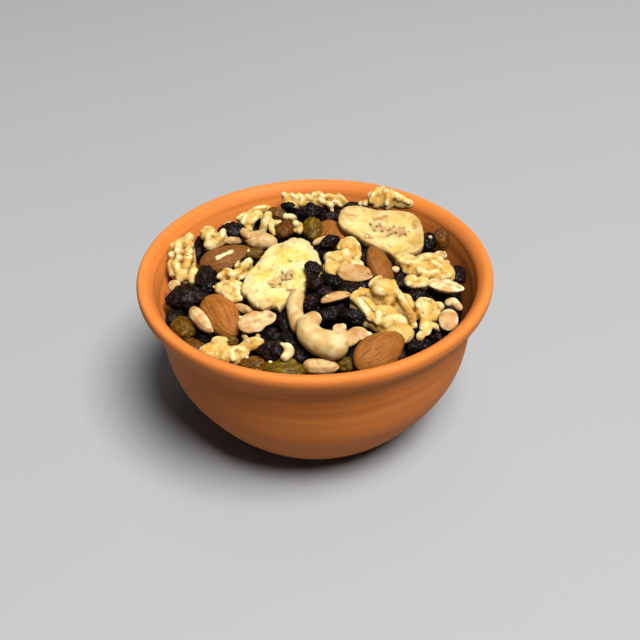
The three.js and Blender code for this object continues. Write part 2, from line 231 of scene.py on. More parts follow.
class Graph:
    """A short way to write a node material."""

    def __init__(self, name, scatter=None, **shader):
        self.material = bpy.data.materials.new(name)
        self.material.use_nodes = True
        self.tree = self.material.node_tree
        self.shader = self.tree.nodes["Principled BSDF"]
        for socket, value in shader.items():
            self.shader.inputs[socket.replace("_", " ")].default_value = value
        if scatter:
            self.shader.inputs["Subsurface Radius"].default_value = scatter
        self.place = self.node("ShaderNodeTexCoord").outputs["Object"]

    def node(self, kind, settings=None, **inputs):
        made = self.tree.nodes.new(kind)
        for key, value in (settings or {}).items():
            setattr(made, key, value)
        for key, value in inputs.items():
            self.feed(made.inputs[key.replace("_", " ")], value)
        return made

    def feed(self, socket, value):
        if isinstance(value, bpy.types.NodeSocket):
            self.tree.links.new(value, socket)
        else:
            socket.default_value = value

    def attribute(self, name):
        return self.node("ShaderNodeAttribute", {"attribute_name": name}).outputs["Fac"]

    def noise(self, scale, detail=4.0, roughness=0.55, stretch=None, distortion=0.0):
        place = self.place
        if stretch:
            place = self.node("ShaderNodeMapping", Vector=place, Scale=stretch).outputs["Vector"]
        return self.node("ShaderNodeTexNoise", Vector=place, Scale=scale, Detail=detail, Roughness=roughness,
                         Distortion=distortion).outputs["Fac"]

    def span(self, value, low, high, out_low=0.0, out_high=1.0):
        return self.node("ShaderNodeMapRange", Value=value, From_Min=low, From_Max=high, To_Min=out_low,
                         To_Max=out_high).outputs["Result"]

    def times(self, a, b):
        made = self.node("ShaderNodeMath", {"operation": "MULTIPLY"})
        self.feed(made.inputs[0], a)
        self.feed(made.inputs[1], b)
        return made.outputs["Value"]

    def mix(self, factor, a, b):
        made = self.node("ShaderNodeMix", {"data_type": "RGBA"})
        self.feed(made.inputs[0], factor)
        for socket, color in ((made.inputs[6], a), (made.inputs[7], b)):
            self.feed(socket, color if isinstance(color, bpy.types.NodeSocket) else (*color, 1))
        return made.outputs[2]

    def bump(self, height, strength, distance, below=None):
        made = self.node("ShaderNodeBump", Height=height, Strength=strength, Distance=distance)
        if below is not None:
            self.feed(made.inputs["Normal"], below)
        return made.outputs["Normal"]

    def finish(self, color, roughness=None, normal=None):
        for socket, value in (("Base Color", color), ("Roughness", roughness), ("Normal", normal)):
            if value is not None:
                self.feed(self.shader.inputs[socket], value)
        return self.material


def srgb(red, green, blue):
    """A colour written as in a picture, 0 to 255, as the linear one that shaders use."""
    return tuple(
        ((c / 255 + 0.055) / 1.055) ** 2.4 if c > 10 else c / 255 / 12.92 for c in (red, green, blue)
    )


def terracotta():
    g = Graph("terracotta", Specular_IOR_Level=0.1)
    bands = g.noise(9, 5, 0.6, stretch=(0.6, 0.6, 26))
    clouds = g.noise(26, 5, 0.6)
    grains = g.noise(900, 2, 0.5)
    tone = g.mix(g.span(bands, 0.3, 0.7), srgb(163, 89, 34), srgb(180, 104, 46))
    tone = g.mix(g.span(clouds, 0.35, 0.7, 0, 0.5), tone, srgb(154, 86, 38))
    tone = g.mix(g.span(grains, 0.62, 0.8, 0, 0.3), tone, srgb(126, 70, 34))
    roughness = g.span(clouds, 0.3, 0.7, 0.52, 0.68)
    relief = g.bump(grains, 0.25, 0.0003)
    return g.finish(tone, roughness, g.bump(bands, 0.5, 0.0005, relief))


def raisin_skin():
    g = Graph("raisin_skin", Specular_IOR_Level=0.08)
    tone = g.mix(g.attribute("tone"), srgb(12, 8, 6), srgb(27, 15, 10))
    # Painted shade: near black in the folds, and over the whole core, as if in shade.
    tone = g.mix(g.span(g.attribute("shade_and_stain"), 0.2, 1.0), tone, srgb(6, 4, 5))
    dust = g.noise(420, 3, 0.6)
    tone = g.mix(g.span(dust, 0.6, 0.85, 0, 0.2), tone, srgb(44, 28, 20))
    wrinkles = g.bump(g.noise(430, 2, 0.5, distortion=1.0), 0.8, 0.0008)
    return g.finish(tone, g.span(dust, 0.3, 0.7, 0.22, 0.5), g.bump(g.noise(900, 3), 0.8, 0.0004, wrinkles))


def sultana_skin():
    g = Graph("sultana_skin", (1.0, 0.55, 0.2), Specular_IOR_Level=0.10, Subsurface_Weight=0.2,
              Subsurface_Scale=0.003)
    # Painted shade: both colours turn darker in the folds, as if in shade.
    green = g.mix(g.attribute("shade_and_stain"), srgb(94, 73, 6), srgb(46, 32, 4))
    brown = g.mix(g.attribute("shade_and_stain"), srgb(92, 50, 8), srgb(44, 23, 5))
    tone = g.mix(g.attribute("mark"), green, brown)
    spots = g.noise(300, 3, 0.6)
    tone = g.mix(g.span(spots, 0.55, 0.8, 0, 0.5), tone, srgb(56, 36, 10))
    return g.finish(tone, g.span(spots, 0.3, 0.7, 0.36, 0.55), g.bump(g.noise(650, 3), 0.4, 0.0003))


def almond_skin():
    g = Graph("almond_skin", Specular_IOR_Level=0.09)
    tone = g.mix(g.attribute("tone"), srgb(90, 54, 20), srgb(124, 72, 23))
    # Darker in the furrows: partly the skin's own streaks, partly painted shade.
    tone = g.mix(g.span(g.attribute("shade_and_stain"), 0.25, 0.9, 0, 0.65), tone, srgb(68, 36, 14))
    dust = g.noise(700, 4, 0.65)
    tone = g.mix(g.span(dust, 0.45, 0.75, 0, 0.4), tone, srgb(144, 92, 36))
    tone = g.mix(g.attribute("mark"), tone, srgb(184, 162, 122))
    return g.finish(tone, g.span(dust, 0.3, 0.7, 0.5, 0.7), g.bump(g.noise(900, 3), 0.5, 0.0003))


# Pale flesh colour: rubbed places, on nut ridges partly a painted highlight, and the crumbs' own colour.
PALE_FLESH = srgb(184, 170, 128)


def nut_flesh(name, light, dark, hollow_shade, translucence=0.15):
    """Pale nut flesh: golden skin in patches, rubbed pale in places (on walnut and cashew ridges partly a
    painted highlight), and painted shade in the hollows and creases.
    """
    g = Graph(name, (1.0, 0.7, 0.4), Specular_IOR_Level=0.16, Subsurface_Weight=translucence,
              Subsurface_Scale=0.002)
    patches = g.noise(150, 4, 0.62)
    tone = g.mix(g.span(patches, 0.4, 0.65, 0, 0.7), light, dark)
    tone = g.mix(g.attribute("mark"), tone, dark)
    tone = g.mix(g.span(g.attribute("tone"), 0.3, 1, 0, 0.4), tone, dark)
    # Rubbed pale places; on walnuts and cashews they sit on the ridges and are partly a painted highlight.
    tone = g.mix(g.span(g.attribute("worn_and_highlight"), 0, 1, 0, 0.85), tone, PALE_FLESH)
    # Painted shade: a darker colour in the folds, hollows and creases, where shade falls.
    tone = g.mix(g.span(g.attribute("shade_and_stain"), 0.05, 0.9), tone, hollow_shade)
    fine = g.noise(800, 3, 0.6)
    return g.finish(tone, g.span(fine, 0.3, 0.7, 0.44, 0.62), g.bump(fine, 0.35, 0.0003))


def banana_flesh(name, light, dark, rind):
    g = Graph(name, (1.0, 0.8, 0.45), Specular_IOR_Level=0.2, Subsurface_Weight=0.2, Subsurface_Scale=0.002)
    patches = g.noise(85, 4, 0.62)
    tone = g.mix(g.span(patches, 0.42, 0.6), light, dark)
    tone = g.mix(g.span(g.noise(120, 4, 0.6, distortion=1.2), 0.52, 0.68, 0, 0.75), tone, rind)
    tone = g.mix(g.span(g.noise(420, 3, 0.6), 0.6, 0.75, 0, 0.5), tone, rind)
    # The rind colour also goes on the edge of the slice: most on its lower part, less in a band round the top
    # face.
    tone = g.mix(g.attribute("shade_and_stain"), tone, rind)
    speckle = g.span(g.noise(700, 3, 0.7), 0.35, 0.65)
    tone = g.mix(g.times(g.attribute("tone"), g.span(speckle, 0, 1, 0.25, 0.85)), tone, srgb(128, 88, 54))
    tone = g.mix(g.times(g.attribute("mark"), g.span(speckle, 0, 1, 0.7, 1.0)), tone, srgb(48, 30, 16))
    return g.finish(tone, g.span(patches, 0.3, 0.7, 0.42, 0.58), g.bump(g.noise(500, 4), 0.35, 0.0004))


# ---- The bowl ----


def bowl_profile():
    """Half a section of the bowl, from the middle of its foot round the lip to the middle of its floor."""
    foot = [(FOOT_RADIUS + FOOT_EDGE_RADIUS * math.sin(a), FOOT_EDGE_RADIUS * (1 - math.cos(a)))
            for a in np.radians(np.linspace(0, 80, 6))]
    outer = spline(OUTER_WALL, OUTER_STEPS)
    c, s = math.cos(math.radians(LIP_FLARE)), math.sin(math.radians(LIP_FLARE))
    lip_r = RIM_RADIUS - math.hypot(LIP_HALF_THICKNESS * c, LIP_HALF_HEIGHT * s)
    lip_z = BOWL_HEIGHT - math.hypot(LIP_HALF_THICKNESS * s, LIP_HALF_HEIGHT * c)
    turn = np.radians(np.linspace(LIP_START, LIP_END, LIP_STEPS))
    out, up = LIP_HALF_THICKNESS * np.cos(turn), LIP_HALF_HEIGHT * np.sin(turn)
    lip = np.stack([lip_r + c * out + s * up, lip_z - s * out + c * up], -1)
    inner = spline(INNER_WALL, INNER_STEPS)
    floor = [(FLOOR_RADIUS / 2, FLOOR_THICKNESS), (0, FLOOR_THICKNESS)]
    return np.vstack([(0, 0), (20, 0), *foot, outer[1:], lip, inner, *floor])


PROFILE = bowl_profile()
HOLLOW = PROFILE[-INNER_STEPS - 2:-2][::-1]


def inner_radius(z):
    return np.interp(z, HOLLOW[:, 1], HOLLOW[:, 0])


def make_bowl():
    points, triangles = revolve(PROFILE, SIDES)
    reach = np.hypot(points[:, 0], points[:, 1])
    heading = np.stack([points[:, 0], points[:, 1]], -1) / np.maximum(reach, 1)[:, None]
    slow = noise(np.column_stack([heading * 1.3, points[:, 2] / 12]), 5)
    rings = noise(np.column_stack([heading * 0.5, points[:, 2] / 2.2]), 6)
    wall = smoothstep(FOOT_RADIUS + 2, FOOT_RADIUS + 8, reach)
    shift = wall * (0.10 * slow + 0.07 * rings)
    points[:, :2] += heading * shift[:, None]
    make_piece("bowl_clay", points, triangles, {}, terracotta(), "bowl")


def fill_height(x, y):
    """Where the surface of the mix lies."""
    near = np.minimum(y, 0)
    fall = (x * x + near * near) / FILL_RADIUS**2
    return FILL_LEVEL - FILL_FALL_TO_SIDES * fall + FILL_RISE_TO_RIGHT * x / FILL_RADIUS


# ---- The kinds of piece. Each returns points, triangles and attributes, in its own frame along X ----
#
# Attributes: a fold measure says how deep a point lies in a fold or hollow, where the materials paint shade
# (on almonds and peanuts partly their own darker colour, and on banana slices it marks the rind-coloured
# edge);
# mark is a patch of another colour, tone is the shade of colour of the whole piece, and a rub measure says
# how pale a point is rubbed (on walnuts and cashews partly a painted highlight on the ridges).

# Half the length, width and height that a piece takes up among its neighbours.
HALF_SIZES = {
    "raisins": (6.2, 4.3, 3.7), "sultanas": (6.8, 4.7, 4.1), "almonds": (12.5, 6.6, 4.3),
    "peanut_halves": (8.2, 4.6, 2.6),
}


def wrinkled(kind, rng, cells, vary, swell, bend, lump, fold, grain=(1, 1)):
    """A dried berry and the height of its skin.

    Lumps are given by their height, spacing and power, folds by their height and spacing."""
    unit, triangles = ball(cells)
    size = np.array(HALF_SIZES[kind]) * rng.uniform(1 - vary, 1 + vary, 3)
    start = rng.uniform(0, 50, 3)
    body = unit * size * (1 + swell[0] * noise(unit * swell[1] + start, 1))[:, None]
    bent = body + bend * np.stack([noise(body / 3.5 + start, k) for k in (4, 5, 6)], -1)
    lumps = np.abs(noise(bent * [grain[0], 1, 1] / lump[1] + start, 2)) ** lump[2]
    folds = 1 - np.abs(noise(bent * [grain[1], 1, 1] / fold[1] + start, 3))
    depth = lump[0] * (lumps - 0.4) + fold[0] * (folds**2 - 0.5)
    return body + unit * depth[:, None], triangles, depth


def raisin(rng, cells=14):
    points, triangles, depth = wrinkled("raisins", rng, cells, 0.1, (0.2, 1.2), 0.8, (1.15, 2.7, 0.75),
                                        (0.4, 1.5))
    # Fold depth, coloured darker in the material as painted shade.
    return points, triangles, {"shade_and_stain": np.clip(0.5 - depth, 0, 1)}


def sultana(rng, brown=0.5):
    points, triangles, depth = wrinkled("sultanas", rng, 22, 0.05, (0.13, 1.1), 0.6, (0.8, 2.0, 0.8),
                                        (0.25, 1.2), grain=(0.45, 0.6))
    # Fold depth, coloured darker in the material as painted shade.
    shade_and_stain = np.clip(0.5 - 1.2 * depth, 0, 1)
    return points, triangles, {"shade_and_stain": shade_and_stain, "mark": np.full(len(points), brown)}


def almond(rng, scratch=0.0):
    unit, triangles = ball(36)
    x, y, z = unit.T
    long, wide, high = 12.5, 7.3, 4.3
    girth = 1 - 0.15 * x - 0.14 * x**4
    points = np.stack([long * x, wide * girth * y, high * girth * z], -1)
    start = rng.uniform(0, 50, 3)
    around = np.arctan2(y * wide, z * high)
    bend = 0.12 * noise(points / 6 + start, 6)
    lines = np.column_stack([points[:, 0] / 9, 3.4 * np.cos(around + bend), 3.4 * np.sin(around + bend)])
    broad = noise(lines * 1.5 + start, 2)
    fine = noise(lines * np.array([1.8, 3.2, 3.2]) + start, 3)
    # Furrows between the streaks, later darkened: partly own colour, partly painted shade.
    shade_and_stain = np.clip(0.45 - 0.35 * broad - 0.7 * fine, 0, 1)
    shift = 0.12 * broad + 0.12 * fine + 0.25 * noise(points / 6 + start, 4)
    points += unit * shift[:, None]
    length = smoothstep(-5.8, -5.0, points[:, 0]) * (1 - smoothstep(1.6, 2.6, points[:, 0]))
    edge = 1.0 + 0.3 * noise(points / 1.3, 7)
    line = 1 - smoothstep(edge * 0.7, edge * 1.2, np.abs(points[:, 1] + 1.3 - 0.22 * points[:, 0]))
    mark = scratch * length * line * (z > 0)
    points -= unit * (0.25 * mark)[:, None]
    return points, triangles, {"shade_and_stain": shade_and_stain * (1 - mark), "mark": mark}


def peanut_half(rng, waist=0.0, slim=1.0, bare=0.3):
    """Half a peanut with its flat side up; waist draws it in, slim makes it narrow, bare makes it pale."""
    unit, triangles = ball(22)
    x, y, z = unit.T
    girth = 1 - 0.12 * x - waist * np.exp(-(((x - 0.35) / 0.22) ** 2))
    height = np.where(z > 0, 1.1, 4.2 * slim)
    points = np.stack([8.2 * x, 4.6 * slim * girth * y, height * girth * z], -1)
    start = rng.uniform(0, 50, 3)
    flat = smoothstep(0.05, 0.4, z)
    groove = np.exp(-((points[:, 1] / 0.55) ** 2)) * smoothstep(-0.85, -0.4, -np.abs(x))
    groove *= rng.uniform(0.1, 0.5)
    germ = np.exp(-(((points[:, 0] - 6.2) / 1.2) ** 2) - (points[:, 1] / 1.0) ** 2)
    points[:, 2] -= flat * (0.6 * groove + 0.5 * germ)
    ribs = noise(np.column_stack([points[:, 0] / 7, points[:, 1] / 1.5, points[:, 2] / 2]) + start, 4)
    bumps = 0.35 * noise(points / 4 + start, 2) + 0.16 * ribs + 0.08 * noise(points / 1.2 + start, 3)
    points += unit * bumps[:, None]
    skin = smoothstep(0.15, 0.5, noise(points / 3.5 + start, 5))
    # Groove, germ and rib valleys, later darkened: partly own colour, partly painted shade.
    shade_and_stain = np.clip(flat * (0.5 * groove + 0.6 * germ) + 0.25 * smoothstep(0.2, 0.7, -ribs), 0, 1)
    worn_and_highlight = bare * smoothstep(-0.4, 0.4, noise(points / 2.8 + start, 6)) * (1 - 0.6 * skin)
    return points, triangles, {"shade_and_stain": shade_and_stain, "mark": (1 - bare) * skin, "worn_and_highlight": worn_and_highlight}


def crumb(rng):
    unit, triangles = ball(5)
    size = rng.uniform(0.6, 1.1, 3)
    lumps = noise(unit * 1.5 + rng.uniform(0, 50, 3), 1)
    return unit * size * (1 + 0.35 * lumps)[:, None], triangles, {}


KINDS = {
    "raisins": raisin, "sultanas": sultana, "almonds": almond, "peanut_halves": peanut_half, "crumbs": crumb,
}

# ---- Shapes built up from ellipsoids and ridges, then joined under one skin ----


def tube(path, radius, sides=12):
    """A sausage with round ends along a path."""
    if len(path) == 1:
        unit, triangles = ball(8)
        return unit * radius + path[0], triangles
    curve = spline(path, max(6, 5 * len(path)))
    ahead = np.gradient(curve, axis=0)
    ahead /= np.linalg.norm(ahead, axis=1)[:, None]
    caps = np.sin(np.radians([12, 35, 60]))
    start = [curve[0] - ahead[0] * radius * math.cos(math.asin(c)) for c in caps]
    end = [curve[-1] + ahead[-1] * radius * math.cos(math.asin(c)) for c in caps[::-1]]
    centres = np.vstack([start, curve, end])
    ahead = np.vstack([[ahead[0]] * 3, ahead, [ahead[-1]] * 3])
    radii = np.concatenate([caps, np.ones(len(curve)), caps[::-1]]) * radius
    across = np.cross(ahead, [0.13, 0.21, 1.0])
    across /= np.linalg.norm(across, axis=1)[:, None]
    over = np.cross(across, ahead)
    angles = np.linspace(0, 2 * math.pi, sides, endpoint=False)
    rings = centres[:, None] + radii[:, None, None] * (
        across[:, None] * np.cos(angles)[None, :, None] + over[:, None] * np.sin(angles)[None, :, None])
    tips = np.vstack([curve[0] - ahead[0] * radius, curve[-1] + ahead[-1] * radius])
    return np.vstack([rings.reshape(-1, 3), tips]), sheath(len(centres), sides, clockwise=False)


def top_of(masses, u, v):
    """The height of the upper side of the ellipsoids, falling away outside them."""
    best = np.full(np.shape(u), -1e9)
    for mu, mv, mw, ru, rv, rw, turn in masses:
        c, s = math.cos(math.radians(turn)), math.sin(math.radians(turn))
        away = np.hypot(((u - mu) * c + (v - mv) * s) / ru, ((v - mv) * c - (u - mu) * s) / rv)
        best = np.maximum(best, mw + rw * np.sqrt(np.maximum(0, 1 - away**2)) - 3 * np.maximum(0, away - 1))
    return best if masses else np.zeros(np.shape(u))


kneaded = {"walnuts": [], "cashews": [], "peanut_flakes": []}
obstacles = []


def knead(kind, x, y, lift, lean, masses, ridges):
    """Lays down a shape that leans back, and leaves round obstacles in its place for settle."""
    place = np.array([x, y, fill_height(x, y) + lift], float)
    turned = rotation(0, 0, lean)
    for u, v, w, ru, rv, rw, turn in masses:
        along = rotation(turn, 0, 0)
        unit, triangles = ball(10)
        points = unit * [ru, rv, rw] @ along.T + [u, v, w]
        kneaded[kind].append((points @ turned.T + place, triangles))
        spots = [along @ [a * (ru - rw), b * (rv - rw), 0] + [u, v, w]
                 for a in (-0.9, 0, 0.9) for b in (-0.8, 0.8)]
        obstacles.extend((*(turned @ spot + place), 0.95 * min(rw, rv, ru)) for spot in spots)
    for radius, rise, *path in ridges:
        flat = np.array(path, float).reshape(-1, 2)
        spots = np.column_stack([flat, top_of(masses, flat[:, 0], flat[:, 1]) + rise])
        points, triangles = tube(spots, radius)
        kneaded[kind].append((points @ turned.T + place, triangles))
        obstacles.extend((*(turned @ spot + place), radius) for spot in spots)


def relax(points, triangles, rounds):
    """Evens out a mesh by moving each point towards its neighbours."""
    a, b, c = triangles.T
    one, two = np.concatenate([a, b, c, b, c, a]), np.concatenate([b, c, a, a, b, c])
    count = np.maximum(np.bincount(one, minlength=len(points)), 1)
    for _ in range(rounds):
        mean = np.stack([np.bincount(one, points[two, k], len(points)) / count for k in range(3)], -1)
        points = points + 0.6 * (mean - points)
    return points


def normals_of(points, triangles):
    a, b, c = (points[triangles[:, k]] for k in range(3))
    face = np.cross(b - a, c - a)
    total = np.stack([sum(np.bincount(corner, face[:, k], len(points)) for corner in triangles.T)
                      for k in range(3)], -1)
    return total / np.maximum(np.linalg.norm(total, axis=1), 1e-9)[:, None]


def skin_over(parts, voxel):
    """One even skin over shapes that overlap."""
    starts = np.cumsum([0] + [len(points) for points, _ in parts[:-1]])
    points = np.concatenate([points for points, _ in parts])
    triangles = np.concatenate([faces + start for (_, faces), start in zip(parts, starts)])
    mesh = bpy.data.meshes.new("kneading")
    mesh.from_pydata(points.tolist(), [], triangles.tolist())
    obj = bpy.data.objects.new("kneading", mesh)
    bpy.context.scene.collection.objects.link(obj)
    remesh = obj.modifiers.new("skin", "REMESH")
    remesh.mode = "VOXEL"
    remesh.voxel_size = voxel
    skin = obj.evaluated_get(bpy.context.evaluated_depsgraph_get()).to_mesh()
    skin.calc_loop_triangles()
    found = np.empty(len(skin.vertices) * 3, np.float32)
    skin.vertices.foreach_get("co", found)
    faces = np.empty(len(skin.loop_triangles) * 3, np.int32)
    skin.loop_triangles.foreach_get("vertices", faces)
    bpy.data.objects.remove(obj)
    bpy.data.meshes.remove(mesh)
    return found.reshape(-1, 3).astype(float), faces.reshape(-1, 3)


def make_kneaded(kind, voxel, material, rounds, bumps):
    points, triangles = skin_over(kneaded[kind], voxel)
    points = relax(points, triangles, rounds)
    broad = relax(points, triangles, 14)
    normals = normals_of(points, triangles)
    hollow = ((broad - points) * normals).sum(1)
    bent = points + 0.7 * np.stack([noise(points / 3.2, k) for k in (35, 36, 37)], -1)
    knobs = np.abs(noise(bent / 3.0, 31))
    nubs = np.abs(noise(bent / 1.3, 32))
    crease = 0.6 * smoothstep(0.16, 0.0, knobs) + 0.3 * smoothstep(0.2, 0.0, nubs)
    # Painted shade: hollows and the creases between knobs are marked for a darker colour, as shade.
    shade_and_stain = smoothstep(0.0, 0.42, hollow) + min(1, 2 * bumps) * crease
    relief = bumps * (1.6 * (np.minimum(knobs, 0.5) - 0.25) + 0.6 * (np.minimum(nubs, 0.5) - 0.25))
    points = points + normals * relief[:, None]
    skin = smoothstep(-0.1, 0.4, noise(points / 5, 33))
    tone = 0.5 + 0.5 * noise(points / 14, 34)
    # Pale in patches on the ridges: partly rubbed flesh, partly a painted highlight.
    worn_and_highlight = smoothstep(0.0, 0.26, -hollow) * smoothstep(-0.35, 0.35, noise(points / 3.4, 38))
    marks = {"shade_and_stain": np.clip(shade_and_stain, 0, 1), "mark": 0.7 * skin, "tone": np.clip(tone, 0, 1), "worn_and_highlight": worn_and_highlight}
    make_piece(kind, points, triangles, marks, material, "trail_mix")


# A cashew's body: a bent row of ellipsoids that grow towards the thick end.
CASHEW = [
    (u, v, -0.3, girth, girth, 0.94 * girth, 0) for (u, v), girth in
    zip(spline([(-5.2, 5.5), (-4.6, 1.5), (-0.8, -2.6), (5.4, -4.8)], 14), np.linspace(4.8, 6.3, 14))
]

